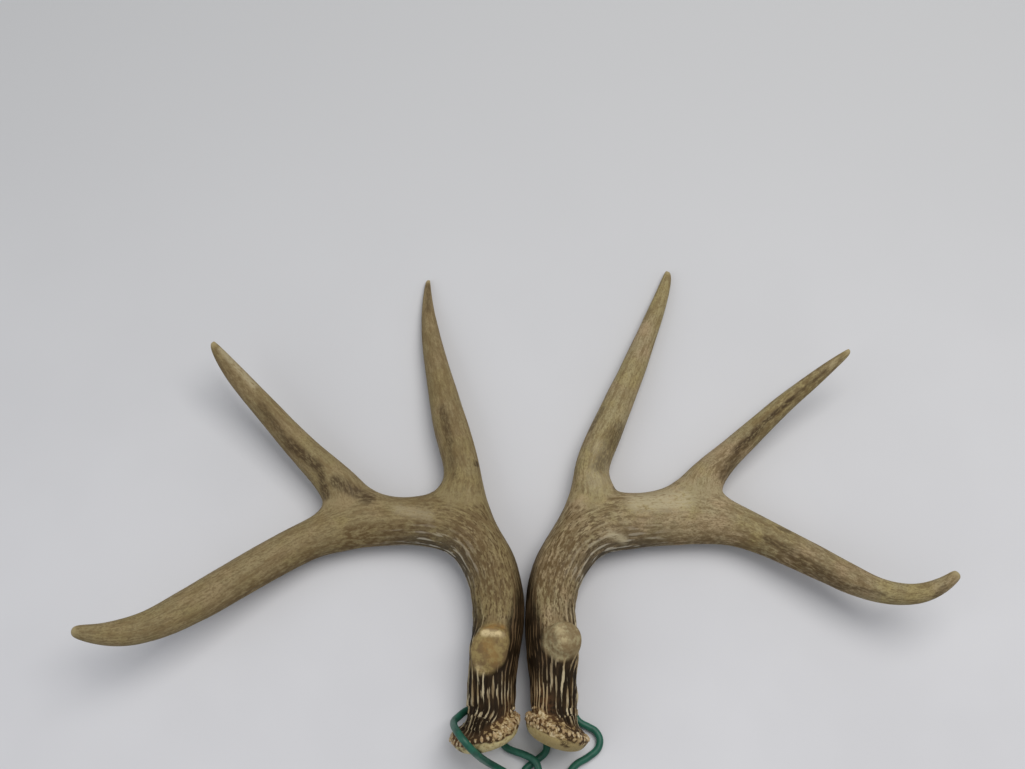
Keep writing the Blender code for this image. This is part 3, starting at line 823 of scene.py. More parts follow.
def straighten(points, line):
    """For each point: distance along, angle, distance out in half sizes, and local size."""
    tree = search_tree(line["spots"])
    nearest = np.array([tree.find(point)[1] for point in points])
    offset = points - line["spots"][nearest]
    ahead = np.sum(offset * line["facing"][nearest], axis=1)
    across = np.sum(offset * line["side"][nearest], axis=1)
    up = np.sum(offset * line["above"][nearest], axis=1)
    half = line["halves"][nearest]
    angle = np.arctan2(up / half[:, 1], across / half[:, 0])
    out = np.hypot(up / half[:, 1], across / half[:, 0])
    past_end = np.abs(ahead) / half.mean(axis=1)
    return {
        "along": line["along"][nearest] + ahead,
        "angle": angle,
        "out": np.hypot(out, np.maximum(past_end - END_ROOM, 0.0)),
        "size": half.mean(axis=1),
        "length": line["along"][-1],
    }


print("a centreline has a point every", LINE_STEP * 1000, "mm")

# %% [markdown]
# ## Beam and tine at a fork
#
# A corner on a tine or near it is charted twice, on the beam and on that tine.  It could simply
# belong to one of them, but then a line would show where the tine's ridges begin.  So it gets a
# share of the tine too, and a pattern can pass softly from one to the other.

# %% Chart every corner of both antlers
FORK = (-0.05, 0.55)       # how much nearer a tine is, in half sizes, where its share rises


def corner_places(mesh):
    """The places and normals of all corners of a mesh, as arrays."""
    count = len(mesh.vertices)
    places = np.empty(count * 3)
    mesh.vertices.foreach_get("co", places)
    normals = np.empty(count * 3)
    mesh.vertex_normals.foreach_get("vector", normals)
    return places.reshape(-1, 3), normals.reshape(-1, 3)


def grain(chart):
    """Coordinates that keep their scale round and along a branch, as three columns."""
    return np.stack([
        chart["size"] * np.cos(chart["angle"]),
        chart["size"] * np.sin(chart["angle"]),
        chart["along"],
    ], axis=1)


def chart_antler(cage, measures):
    """Chart every corner on the beam and on the nearer tine, with the tine's share."""
    points, _ = corner_places(cage.data)
    beam = beam_sections(measures)
    chart = straighten(points, centreline(beam, measures["turn"]))
    chart["share"] = np.zeros(len(points))
    tine_chart = {key: np.array(value) for key, value in chart.items()}
    for tine in measures["tines"]:
        foot = beam[tine["ring"] + BURR_ROWS]["middle"]
        one = straighten(points, centreline(tine_sections(tine), measures["turn"], foot))
        share = rise(chart["out"] - one["out"], *FORK)
        taken = share > chart["share"]
        for key in ("along", "angle", "out", "size"):
            tine_chart[key][taken] = one[key][taken]
        tine_chart["length"] = np.where(taken, one["length"], tine_chart["length"])
        chart["share"] = np.maximum(chart["share"], share)
    return chart, tine_chart


charts = {}
for side, measures in MEASURES.items():
    charts[side] = chart_antler(antlers[side], measures)
    print(side, "antler is", round(charts[side][0]["length"], 3), "m along its beam")

# %% [markdown]
# ## Where the ridges run
#
# Blood vessels lie on a growing antler, and each leaves a groove.  So the ridges between them
# run side by side along the branch, wide apart on the outer side and crowded on the inner one.
# A wave round the branch gives such ridges: its whole number of turns closes without a seam, a
# slow noise lets them wander, a finer wave makes some of them weaker, and a third noise breaks
# them into long beads.  The finish works out the same waves, so paint and shape agree.

# %% Ridges as a wave round the branch
RIDGES_ROUND = 30.0
RIDGES_CROWD = 11.0        # so many more on the inner side, and fewer on the outer side
FINER = 1.6                # a second, weaker wave has this many times the ridges
FINER_SHARE = 0.30
TINE_RIDGES = 20.0
# The sizes of the noises: across the branch twice, and along it.
WANDER = (0.009, 0.009, 0.026)
SHORT_WANDER = (0.0035, 0.0035, 0.009)
BEADS = (0.0034, 0.0034, 0.0092)
WANDER_TURNS = (2.6, 1.0)  # how far the two wanders turn the wave, in radians


def noise_columns(columns, scales, shift):
    """Smooth noise between about -1 and 1 at each row of three columns."""
    rows = columns / np.array(scales) + shift
    return np.array([noise.noise(row) for row in rows.tolist()])


def wander(columns, shift):
    """How far the ridges stray from straight lines, as a turn of their wave."""
    slow = noise_columns(columns, WANDER, shift)
    short = noise_columns(columns, SHORT_WANDER, shift + 3.0)
    return WANDER_TURNS[0] * slow + WANDER_TURNS[1] * short


def ridge_lines(angle, count, crowd, strayed):
    """1 along the top of each ridge, and 0 along the grooves."""
    main = np.cos(count * angle + crowd * np.sin(angle) + strayed)
    finer = np.cos(count * FINER * angle + crowd * np.sin(angle) - 2.0 * strayed)
    return 0.5 + 0.5 * ((1.0 - FINER_SHARE) * main + FINER_SHARE * finer)


print("ridges on the beam", RIDGES_ROUND, "and in the weaker wave", RIDGES_ROUND * FINER)

# %% [markdown]
# ## Masks along and round the antler
#
# Where a colour lies depends on how far above the burr a spot is, and on which side.  Distances
# near the burr are counted square to the burr's own plane, because the rim leans.  The zones
# could be painted by hand as vertex colours, but worked out from distances they have soft,
# even borders.  Only the stains, which follow no rule, are placed one by one in the tables.

# %% Where the zones are, in metres above the burr
RAGGED = (0.0011, 0.0028)           # how far the seal's and the burr's borders stray, and over what
STAIN_START = (0.034, 0.050, 0.018, 0.020)   # all round, then added inside, outside, underneath
STAIN_END = (0.052, 0.075, 0.052, 0.060)
LOW_BEAM = (0.024, 0.037)
RUST_FADE = (0.006, 0.020)
BEND = (0.055, 0.095, 0.150, 0.200)          # rises over the first two, falls over the last two
EDGE_RIDGES = (0.085, 0.110, 0.160, 0.200)
# where painted shade darkens the lower edge of the middle beam, on its outer side
SHADED_LOWER_EDGE = (0.130, 0.165, 0.290, 0.350)
PAST_STUB = (0.044, 0.056)
FLECK_FADE = (0.120, 0.180)
TIP_LENGTH = 0.0055
UPWARD = (-0.3, 0.1)       # stains fade where a normal's upright part falls from 0.1 to -0.3
print("the bend is", BEND[1] * 1000, "to", BEND[2] * 1000, "mm above the burr")

# %% Measure distances, sides and stains


def inside(value, zone):
    """1 inside a zone and 0 outside it, with a soft rise and fall."""
    return rise(value, *zone[:2]) * (1.0 - rise(value, *zone[2:]))


def side_shares(angle):
    """How much a corner faces the inner side, the outer side and the floor."""
    return [np.maximum(facing, 0.0) for facing in (np.cos(angle), -np.cos(angle), -np.sin(angle))]


def above_the_burr(points, measures, chart):
    """The distance from the burr's plane, which further up is the distance along the beam."""
    burr = measures["burr"]
    offset = points - np.array(place(Vector(burr["centre"]) * MM))
    near = offset @ np.array(burr_facing(burr))
    along = chart["along"] - burr["depth"] * MM
    return near + (along - near) * rise(along, 0.016, 0.034)


def stain_shares(points, measures, kind):
    """How strongly each corner is marked by the stains of one kind."""
    flat = points[:, :2]
    strongest = np.zeros(len(points))
    for name, start, end, half_width, strength in measures["stains"]:
        if name != kind:
            continue
        start, end = (np.array(place(Vector((*spot, 0.0)) * MM))[:2] for spot in (start, end))
        run = end - start
        share = np.clip((flat - start) @ run / max(run @ run, 1e-9), 0.0, 1.0)
        away = np.linalg.norm(flat - start - share[:, None] * run, axis=1) / (half_width * MM)
        strongest = np.maximum(strongest, strength * (1.0 - rise(away, 0.3, 1.45)))
    return strongest


middle_of_bend = round(float(inside(sum(BEND) / len(BEND), BEND)), 2)
print("halfway through its zone the bend's mask is", middle_of_bend)

# %% [markdown]
# ## One table of masks
#
# Each mask is a share from 0 to 1 at every corner.  A rise over the ends of a zone gives it a
# soft border, and two masks multiplied give what both of them cover.  The placed stains were
# seen from above, so they fade where the surface turns towards the floor.

# %% Work out every mask of one antler


def zone_masks(points, normals, measures, chart, tine_chart):
    """Every mask of the finish, from 0 to 1, as one table."""
    share = chart["share"]
    inner, outer, under = side_shares(chart["angle"])
    above = above_the_burr(points, measures, chart)
    to_tip = np.where(share > 0.5, tine_chart["length"] - tine_chart["along"],
                      chart["length"] - chart["along"])
    stain_start, stain_end = (
        all_round + more_inside * inner + more_outside * outer + more_underneath * under
        for all_round, more_inside, more_outside, more_underneath in (STAIN_START, STAIN_END)
    )
    bend = inside(above, BEND) * (1.0 - share)
    fork = 4.0 * share * (1.0 - share)
    grainy = stain_shares(points, measures, "grainy")
    ragged = above + RAGGED[0] * noise_columns(points, (RAGGED[1],) * 3, 5.0)
    upward = rise(normals[:, 2], *UPWARD)
    # painted shade along the lower edge of the middle beam
    shaded_lower_edge = outer ** 1.5 * inside(above, SHADED_LOWER_EDGE)
    facing_in = np.cos(chart["angle"])
    low = 1.0 - rise(above, *LOW_BEAM)
    flecks = rise(above, *PAST_STUB) * (1.0 - 0.62 * rise(above, *FLECK_FADE))
    # brown at the bend, partly painted shade, and the painted shade of the lower edge
    brown_and_shade = 0.55 * bend * (0.4 + 0.6 * inner) + 0.90 * shaded_lower_edge * (1.0 - share)
    return {
        "above_burr": above,
        "to_tip": to_tip,
        "outer": outer,
        "stain": 1.0 - rise(above, stain_start, stain_end),
        "cream": np.maximum(
            1.0 - rise(facing_in, -0.55, 0.40),
            0.7 * low * (1.0 - rise(facing_in, 0.6, 0.97)),
        ),
        "rust": np.maximum(
            0.5 * rise(facing_in, 0.1, 0.8) * (1.0 - rise(above, *RUST_FADE)),
            stain_shares(points, measures, "rust"),
        ),
        "seal": 1.0 - rise(ragged + 0.0030 * grainy, -0.0030, -0.0014),
        "burr": 1.0 - rise(ragged, 0.0012 + 0.004 * grainy, 0.0042 + 0.008 * grainy),
        "grainy": grainy,
        "aged": np.full(len(points), measures["aged"]),
        "edge": outer ** 2 * inside(above, EDGE_RIDGES) * (1.0 - share),
        "flecks": flecks * (1.0 - 0.5 * share) * (1.0 - fork),
        "brown_and_shade": np.clip(brown_and_shade + stain_shares(points, measures, "brown_and_shade") * upward, 0.0, 1.0),
        "dark": stain_shares(points, measures, "dark") * upward,
        "pale": stain_shares(points, measures, "pale") * upward,
        "tip": 1.0 - rise(to_tip, 0.0, TIP_LENGTH),
        "streaky": 1.0 - 0.8 * fork,
        "tine_share": share,
    }


print("the last", TIP_LENGTH * 1000, "mm of every tip are ivory")

# %% [markdown]
# ## The brow stub's masks
#
# The sawn and worn stub has no ridges.  Its own masks say where it is, where its cut face is,
# and where the growth rings of its core show on that face.  They count from the middle of the
# cut face, outwards in shares of the stub's shoulder and upwards square to the cut.

# %% Measure the stub
STUB_RING = 0.0026         # from one growth ring to the next
STUB_RAGGED = (0.10, 0.007)         # how far its border strays, as a share, and over what
STUB_REACH = (0.92, 1.22)
STUB_HEIGHT = (-0.015, -0.009)
FACE_REACH = (0.45, 0.95)
FACE_HEIGHT = (-0.0050, -0.0010)


def stub_masks(points, measures):
    """How much a corner belongs to the stub, to its cut face, and to a growth ring on it."""
    stub = measures["stub"]
    offset = points - np.array(place(Vector(stub["top"][:3]) * MM))
    slope = math.radians(stub["slope"])
    raised = offset[:, 2] * math.cos(slope) - offset[:, 1] * math.sin(slope)
    radii = np.array(stub["shoulder"][3:5]) * MM
    twist = math.radians(stub["twist"])
    across = offset[:, 0] * math.cos(twist) + offset[:, 1] * math.sin(twist)
    lengthwise = offset[:, 1] * math.cos(twist) - offset[:, 0] * math.sin(twist)
    out = np.hypot(across / radii[0], lengthwise / radii[1])
    out += STUB_RAGGED[0] * noise_columns(points, (STUB_RAGGED[1],) * 3, 31.0)
    belongs = (1.0 - rise(out, *STUB_REACH)) * rise(raised, *STUB_HEIGHT)
    face = (1.0 - rise(out, *FACE_REACH)) * rise(raised, *FACE_HEIGHT)
    rings = 0.5 + 0.5 * np.cos(2.0 * math.pi * out * radii.mean() / STUB_RING)
    return {
        "stub": belongs,
        "stub_face": face,
        "stub_ring": rings * (1.0 - 0.7 * stub["gold"]),
        "stub_gold": np.full(len(points), stub["gold"]),
    }


for side, measures in MEASURES.items():
    half_width, half_length = measures["stub"]["shoulder"][3:5]
    print(side, "stub is", 2.0 * half_width, "by", 2.0 * half_length, "mm at its shoulder")

# %% [markdown]
# ## Where the cord has worn the rim
#
# The cord passes along the floor under both burrs, and over the outer side of the left one.
# The lowest part of each rim's flare is worn away there, and the bone is pressed in just enough
# to leave the cord its room.

# %% Wear the rim
WORN_SPOT = 292.0          # degrees from the inner side, over the top
WORN_WIDTH = 26.0
WORN_SHARE = 0.85
WORN_DEPTH = (0.008, 0.013)         # from the burr's plane, where the wear fades
FLARE_FROM = 0.70          # the share of the rim's radius where its flare begins
NEAR_BURR = (0.024, 0.040)          # corners this near the plane, and this near the middle
CORD_CLEARANCE = 0.0028    # from the middle of the cord to the bone
PRESS_ROUNDS = 4

cord_points = [place(point) for point in smooth_line(CORD_ROUTE, CORD_STEP)]
cord_tree = search_tree(cord_points)


def wear_rim(points, measures):
    """Press the corners near the burr inwards where the cord needs room."""
    burr = measures["burr"]
    facing = burr_facing(burr)
    side = facing.cross(UP).normalized() * measures["turn"]
    above = side.cross(facing).normalized() * measures["turn"]
    offset = points - np.array(place(Vector(burr["centre"]) * MM))
    near = offset @ np.array(facing)
    away = np.linalg.norm(offset, axis=1)
    close = np.flatnonzero((np.abs(near) < NEAR_BURR[0]) & (away < NEAR_BURR[1]))
    flat = offset[close] - near[close, None] * np.array(facing)
    reach = np.linalg.norm(flat, axis=1)
    outward = flat / reach[:, None]
    turned = np.degrees(np.arctan2(outward @ np.array(above), outward @ np.array(side))) % 360.0
    flare = np.maximum(reach - FLARE_FROM * burr["rim"][1] * MM, 0.0)
    worn = WORN_SHARE * np.exp(-((turned - WORN_SPOT) / WORN_WIDTH) ** 2)
    worn *= 1.0 - rise(np.abs(near[close]), *WORN_DEPTH)
    points[close] -= outward * (flare * worn)[:, None]
    for _ in range(PRESS_ROUNDS):
        room = np.array([cord_tree.find(point)[2] for point in points[close]])
        points[close] -= outward * np.maximum(CORD_CLEARANCE - room, 0.0)[:, None]


print("the cord's middle keeps", CORD_CLEARANCE * 1000, "mm from the bone")

# %% [markdown]
# ## Ridges, beads, lumps and pits
#
# A displace modifier could press a picture into the surface, but no picture follows a forked
# branch, so the corners are moved in code.  The ridges stand highest on the outer side just
# above the burr, and sink away past the bend.

# %% How high the relief is
RIDGE_HEIGHT = 0.00125
INNER_LOSS = 0.58          # so much lower are the ridges on the inner side
STUB_LOSS = 0.82           # ... past the brow stub, over RIDGE_FADE
OUTER_GAIN = 0.55          # ... of which the outer side keeps this much
BEND_LOSS = 0.80           # ... past the bend, over BEND_FADE
TINE_LOSS = 0.86           # ... and on a tine
RIDGE_FADE = (0.040, 0.062)
BEND_FADE = (0.100, 0.165)
RIDGE_START = (-0.001, 0.003)
TIP_FADE = 0.06            # the ridges sink away over this length before a tip
GROOVE_LEVEL = 0.34        # the share of a ridge's height that lies below the plain surface
LUMP_SIZE = 0.020
LUMP_HEIGHT = 0.00045
FULL_SIZE = 0.015          # on a branch with this half size, and smaller ones have lower lumps
PIT_SIZE = 0.0030
PIT_DEPTH = 0.0003
STUB_SMOOTH = 0.85
STUB_RING_DEPTH = 0.00010
print("a ridge rises up to", RIDGE_HEIGHT * 1000, "mm")

# %% Work out the relief


def relief(zones, chart, tine_chart, shift):
    """The height to add at each corner, and what the ridges were made from."""
    share, above = zones["tine_share"], zones["above_burr"]
    beam_grain, tine_grain = grain(chart), grain(tine_chart)
    strayed = wander(beam_grain, shift) * (1.0 - share) + wander(tine_grain, shift + 5.0) * share
    beads = noise_columns(beam_grain, BEADS, shift + 11.0)
    lines = ridge_lines(chart["angle"], RIDGES_ROUND, RIDGES_CROWD, strayed) * (1.0 - share)
    lines += ridge_lines(tine_chart["angle"], TINE_RIDGES, 0.0, strayed) * share
    height = RIDGE_HEIGHT * (1.0 - INNER_LOSS * rise(np.cos(chart["angle"]), -0.3, 0.6))
    height *= 1.0 - rise(above, *RIDGE_FADE) * (STUB_LOSS - OUTER_GAIN * zones["outer"])
    height *= 1.0 - BEND_LOSS * rise(above, *BEND_FADE)
    height *= (1.0 - TINE_LOSS * share) * rise(above, *RIDGE_START)
    height *= rise(zones["to_tip"], 0.0, TIP_FADE)
    lumps = noise_columns(beam_grain, (LUMP_SIZE,) * 3, shift + 17.0) * (1.0 - share)
    lumps += noise_columns(tine_grain, (LUMP_SIZE,) * 3, shift + 23.0) * share
    pits = noise_columns(beam_grain, (PIT_SIZE,) * 3, shift + 41.0)
    size = np.where(share > 0.5, tine_chart["size"], chart["size"]) / FULL_SIZE
    raised = height * (lines ** 1.3 * (0.85 + beads) - GROOVE_LEVEL)
    raised += LUMP_HEIGHT * lumps * np.minimum(size, 1.0)
    raised -= PIT_DEPTH * zones["seal"] * rise(pits, 0.30, 0.50)
    raised *= 1.0 - STUB_SMOOTH * zones["stub"]
    raised -= STUB_RING_DEPTH * zones["stub_face"] * zones["stub_ring"]
    ridges = {"strayed": strayed, "beads": beads, "beam_grain": beam_grain, "tine_grain": tine_grain}
    return raised, ridges


print("a groove lies", round(RIDGE_HEIGHT * GROOVE_LEVEL * 1000, 2), "mm below the plain surface")

# %% [markdown]
# ## Moving the corners
#
# The relief moves every corner along its normal.  What the finish needs later is kept on the
# mesh as attributes: the masks, and the straightened coordinates of the ridges.  A corner that
# would dip below the floor is lifted back on to it.

# %% Move the corners and keep the masks
MASK_NAMES = ("beads", "stain", "cream", "rust", "seal", "burr", "grainy", "aged", "edge", "flecks",
              "brown_and_shade", "dark", "pale", "streaky", "tip", "stub", "stub_ring", "stub_gold")
CHART_NAMES = ("tine_share", "strayed", "beam_grain", "tine_grain")


def keep_attribute(mesh, name, values):
    """Keep a value or a vector at every corner of a mesh."""
    kind, field = ("FLOAT", "value") if values.ndim == 1 else ("FLOAT_VECTOR", "vector")
    layer = mesh.attributes.new(name, kind, "POINT")
    layer.data.foreach_set(field, values.ravel())


def carve(cage, measures, charts):
    """Move the corners of one antler and keep the masks as attributes."""
    points, normals = corner_places(cage.data)
    zones = zone_masks(points, normals, measures, *charts)
    zones.update(stub_masks(points, measures))
    raised, ridges = relief(zones, *charts, measures["shifts"][0])
    zones.update(ridges)
    points += normals * raised[:, None]
    wear_rim(points, measures)
    points[:, 2] = np.maximum(points[:, 2], 0.0)
    cage.data.vertices.foreach_set("co", points.ravel())
    for name in MASK_NAMES + CHART_NAMES:
        keep_attribute(cage.data, name, zones[name])
    cage.data.update()
    print(cage.name, "relief from", round(raised.min() * 1000, 2), "to",
          round(raised.max() * 1000, 2), "mm")


for side, measures in MEASURES.items():
    carve(antlers[side], measures, charts[side])

# %% [markdown]
# ## Pearls on the burr
#
# The rim of the burr is set with bony pearls that run out into the ridges.  One pearl is
# modelled from a small ball, flattened and drawn out to a tail.  Copies of it are then set on
# the finished surface in rows, a little uneven and each with its own share of tan, and joined
# into one piece.  Where the cord lies against the rim the pearls are worn away.

# %% Model one pearl
PEARL_TAIL = 0.22          # where the tail begins, in units of the pearl
TAIL_SHARES = (0.62, 1.0, 0.55)     # how the tail is drawn in


def model_pearl():
    """A low ball, one unit across, that narrows to a tail along +Y."""
    bpy.ops.object.select_all(action="DESELECT")
    bpy.ops.mesh.primitive_ico_sphere_add(subdivisions=2, radius=0.5)
    pearl = bpy.context.active_object
    bpy.ops.object.mode_set(mode="EDIT")
    bpy.ops.mesh.select_all(action="DESELECT")
    mesh = bmesh.from_edit_mesh(pearl.data)
    for vert in mesh.verts:
        vert.select_set(vert.co.y > PEARL_TAIL)
    mesh.select_flush_mode()
    bmesh.update_edit_mesh(pearl.data)
    bpy.ops.transform.resize(value=TAIL_SHARES, center_override=(0.0, 0.0, 0.0))
    bpy.ops.object.mode_set(mode="OBJECT")
    pearl.data.shade_smooth()
    return pearl


pearl_model = model_pearl()
print("pearl has", len(pearl_model.data.polygons), "faces")

# %% [markdown]
# ## Setting the pearls
#
# An array modifier would set the pearls evenly, which no antler does.  So a loop works out a
# matrix for each: where it sits, how it turns with the surface and how large it is.  A noise
# makes the places uneven, and its seed is fixed so that every run gives the same places.

# %% Work out where the pearls sit
PEARL_HEIGHT = 1.6         # millimetres, like the tables
PEARL_STRAY = 1.6          # millimetres along the beam
PEARL_JITTER = 0.35        # of the way to the next pearl
PEARL_GROWTH = 0.7         # how much larger or smaller a pearl may be
CORD_ROOM = 0.0042         # no pearl sits nearer to the middle of the cord
FLOOR_ROOM = 0.0014        # and none this near the floor


def pearl_places(measures, cage):
    """For every pearl its matrix on the surface, along the beam, and how tanned it is."""
    burr = measures["burr"]
    facing = burr_facing(burr)
    centre = place(Vector(burr["centre"]) * MM)
    side = facing.cross(UP).normalized()
    above = side.cross(facing).normalized()
    shift = measures["shifts"][1]
    pearls_set = []
    for number, (behind, count, width, length, inward_from) in enumerate(measures["pearls"]):
        for index in range(count):
            loose = noise.noise_vector(Vector((index * 1.7, number * 5.3, shift)))
            angle = 2.0 * math.pi * (index + PEARL_JITTER * loose.x) / count
            inward = math.cos(angle) * measures["turn"]
            reach = side * burr["rim"][0] * math.cos(angle) + above * burr["rim"][1] * math.sin(angle)
            aim = centre + (reach + facing * (behind + PEARL_STRAY * loose.y)) * MM
            _, spot, outward, _ = cage.closest_point_on_mesh(aim)
            near_cord = min((spot - point).length for point in cord_points) < CORD_ROOM
            if near_cord or inward < inward_from or spot.z < FLOOR_ROOM:
                continue
            across = facing.cross(outward).normalized()
            lengthwise = outward.cross(across)
            size = (1.0 + PEARL_GROWTH * loose.z) * MM
            axes = (across * width * size, lengthwise * length * size, outward * PEARL_HEIGHT * size)
            matrix = Matrix.Translation(spot) @ Matrix(axes).transposed().to_4x4()
            tanned = float(np.clip(0.35 + 1.1 * loose.x + 0.30 * inward, 0.0, 1.0))
            pearls_set.append((matrix, tanned))
    return pearls_set


pearls_asked = sum(row[1] for table in MEASURES.values() for row in table["pearls"])
print("the tables ask for", pearls_asked, "pearls all round")

# %% [markdown]
# ## One piece of pearls
#
# Hundreds of loose objects would be slow to handle, so the pearls of an antler are joined into
# one piece.  Before that, each copy gets a mesh of its own with its place in it, and its share
# of tan as an attribute that the finish will read.

# %% Set the pearls
PEARL_SEED = 9


def set_pearls(name, pearls_set):
    """One piece of copies of the pearl."""
    copies = []
    for matrix, tanned in pearls_set:
        copy = bpy.data.objects.new(name, pearl_model.data.copy())
        copy.data.transform(matrix)
        keep_attribute(copy.data, "tanned", np.full(len(copy.data.vertices), tanned))
        bpy.context.scene.collection.objects.link(copy)
        copies.append(copy)
    bpy.ops.object.select_all(action="DESELECT")
    for copy in copies:
        copy.select_set(True)
    bpy.context.view_layer.objects.active = copies[0]
    bpy.ops.object.join()
    return copies[0]


bpy.context.view_layer.update()
noise.seed_set(PEARL_SEED)
pearls = {}
for side, measures in MEASURES.items():
    pearls_set = pearl_places(measures, antlers[side])
    pearls[side] = set_pearls(side + "_pearls", pearls_set)
    print(side, "pearls", len(pearls_set))
bpy.data.objects.remove(pearl_model)

# %% [markdown]
# ## Room between the pieces
#
# Pieces that touch in the real pair may not cut into each other here.  A look at a render can
# miss such a fault, so the smallest distances are measured: from each piece's corners to the
# cord's surface, and from one antler to the other.

# %% Measure the room round the cord and between the antlers
SAMPLE = 3                 # every third corner of the other antler is enough


def smallest_gap(piece, tree, allowance):
    """The smallest distance from a piece's corners to the points of a tree, less an allowance."""
    return min(tree.find(vert.co)[2] for vert in piece.data.vertices) - allowance


for side in MEASURES:
    for piece in (antlers[side], pearls[side]):
        gap = smallest_gap(piece, cord_tree, CORD_DIAMETER / 2.0)
        print(piece.name, "to cord", round(gap * 1000, 2), "mm")
right_corners = [vert.co for vert in antlers["right"].data.vertices][::SAMPLE]
gap = smallest_gap(antlers["left"], search_tree(right_corners), 0.0)
print("between the antlers", round(gap * 1000, 2), "mm")

# %% [markdown]
# ## Helpers for finishes
#
# A finish is a graph of nodes.  It could be joined up node by node, but that takes a page for
# each colour.  So one helper adds a node and fills its sockets with values or links, and small
# ones mix, calculate and spread.

# %% Node helpers


def add_node(tree, kind, settings=None, **sockets):
    """Add a node; each keyword names an input and gives its value or the socket to link."""
    made = tree.nodes.new(kind)
    for name, value in (settings or {}).items():
        setattr(made, name, value)
    for name, value in sockets.items():
        fill_socket(tree, made.inputs[name.replace("_", " ")], value)
    return made


def fill_socket(tree, socket, value):
    """Link a socket, or give it a value."""
    if isinstance(value, bpy.types.NodeSocket):
        tree.links.new(value, socket)
    else:
        socket.default_value = value


def mix_colours(tree, share, first, second):
    """Mix two colours."""
    made = add_node(tree, "ShaderNodeMix", {"data_type": "RGBA"})
    for index, value in ((0, share), (6, first), (7, second)):
        fill_socket(tree, made.inputs[index], value)
    return made.outputs[2]


def mix_values(tree, share, first, second):
    """Mix two plain values."""
    made = add_node(tree, "ShaderNodeMix", {"data_type": "FLOAT"})
    for index, value in ((0, share), (2, first), (3, second)):
        fill_socket(tree, made.inputs[index], value)
    return made.outputs[0]


def calculate(tree, operation, first, second=0.0, third=0.0):
    """One step of arithmetic."""
    made = add_node(tree, "ShaderNodeMath", {"operation": operation})
    for socket, value in zip(made.inputs, (first, second, third)):
        fill_socket(tree, socket, value)
    return made.outputs[0]


def spread(tree, value, start, end, low=0.0, high=1.0):
    """Spread a value between start and end over low to high, with soft ends."""
    made = add_node(tree, "ShaderNodeMapRange", {"interpolation_type": "SMOOTHSTEP"})
    for name, number in (("Value", value), ("From Min", start), ("From Max", end),
                         ("To Min", low), ("To Max", high)):
        fill_socket(tree, made.inputs[name], number)
    return made.outputs["Result"]


def attribute(tree, name, output="Fac"):
    """Read an attribute of the mesh."""
    return add_node(tree, "ShaderNodeAttribute", {"attribute_name": name}).outputs[output]


def colour(red, green, blue):
    """A colour from its three linear parts."""
    return (red, green, blue, 1.0)


print("a colour has", len(colour(0.0, 0.0, 0.0)), "parts, the last for how solid it is")

# %% [markdown]
# ## Groups and materials
#
# An effect that several finishes use, such as streaks or mottling, is a shader group: it is
# built once, and each finish places it with its own values.  A material starts with the
# Principled shader, which stands for most surfaces, and ends on its pieces.

# %% Helpers for groups and materials


def start_group(name, inputs, outputs):
    """A shader group with named inputs and outputs."""
    group = bpy.data.node_groups.new(name, "ShaderNodeTree")
    for socket_name, kind, value in inputs:
        socket = group.interface.new_socket(socket_name, in_out="INPUT", socket_type=kind)
        if value is not None:
            socket.default_value = value
    for socket_name, kind in outputs:
        group.interface.new_socket(socket_name, in_out="OUTPUT", socket_type=kind)
    entry = group.nodes.new("NodeGroupInput")
    leave = group.nodes.new("NodeGroupOutput")
    return group, entry.outputs, leave.inputs


def use_group(tree, group, **sockets):
    """Place a shader group in a finish."""
    return add_node(tree, "ShaderNodeGroup", {"node_tree": group}, **sockets).outputs


def start_material(name, roughness):
    """A material with its Principled shader."""
    finish = bpy.data.materials.new(name)
    finish.use_nodes = True
    shader = finish.node_tree.nodes["Principled BSDF"]
    shader.inputs["Roughness"].default_value = roughness
    return finish, finish.node_tree, shader


def give_finish(pieces, finish):
    """Give pieces one finish in place of any other, and say how large its graph is."""
    for piece in pieces:
        piece.data.materials.clear()
        piece.data.materials.append(finish)
    names = [piece.name for piece in pieces]
    print(finish.name, "has", len(finish.node_tree.nodes), "nodes and is on", names)


print("materials before the first finish", len(bpy.data.materials))

# %% [markdown]
# ## Fibres along the bone
#
# Fine streaks run along every branch.  The group stretches a noise along the straightened
# coordinates, once for the beam and once for the tine, and passes from one to the other with
# the tine's share.

# %% The group for lengthwise streaks


def make_streaks():
    """A group that gives lengthwise streaks between 0 and 1."""
    group, given, wanted = start_group(
        "lengthwise_streaks",
        [("Fineness", "NodeSocketFloat", 900.0), ("Stretch", "NodeSocketFloat", 9.0),
         ("Detail", "NodeSocketFloat", 3.0), ("Shift", "NodeSocketFloat", 0.0)],
        [("Mask", "NodeSocketFloat")],
    )
    run = calculate(group, "DIVIDE", given["Fineness"], given["Stretch"])
    scale = add_node(group, "ShaderNodeCombineXYZ", X=given["Fineness"], Y=given["Fineness"], Z=run)
    streaks = []
    for name in ("beam_grain", "tine_grain"):
        scaled = add_node(group, "ShaderNodeVectorMath", {"operation": "MULTIPLY"})
        fill_socket(group, scaled.inputs[0], attribute(group, name, "Vector"))
        fill_socket(group, scaled.inputs[1], scale.outputs[0])
        moved = add_node(group, "ShaderNodeVectorMath", {"operation": "ADD"})
        fill_socket(group, moved.inputs[0], scaled.outputs[0])
        fill_socket(group, moved.inputs[1], given["Shift"])
        made = add_node(group, "ShaderNodeTexNoise", Vector=moved.outputs[0], Scale=1.0,
                        Detail=given["Detail"], Roughness=0.6)
        streaks.append(made.outputs["Fac"])
    mask = mix_values(group, attribute(group, "tine_share"), *streaks)
    fill_socket(group, wanted["Mask"], mask)
    return group


streaks_group = make_streaks()
print(streaks_group.name, "has", len(streaks_group.nodes), "nodes")

# %% [markdown]
# ## The same ridges, for the paint
#
# The mesh is too coarse to hold the colour of a ridge only one millimetre wide.  So this group
# works out the ridges' wave again from the straightened coordinates, sharp at any size.

# %% The group for ridge lines


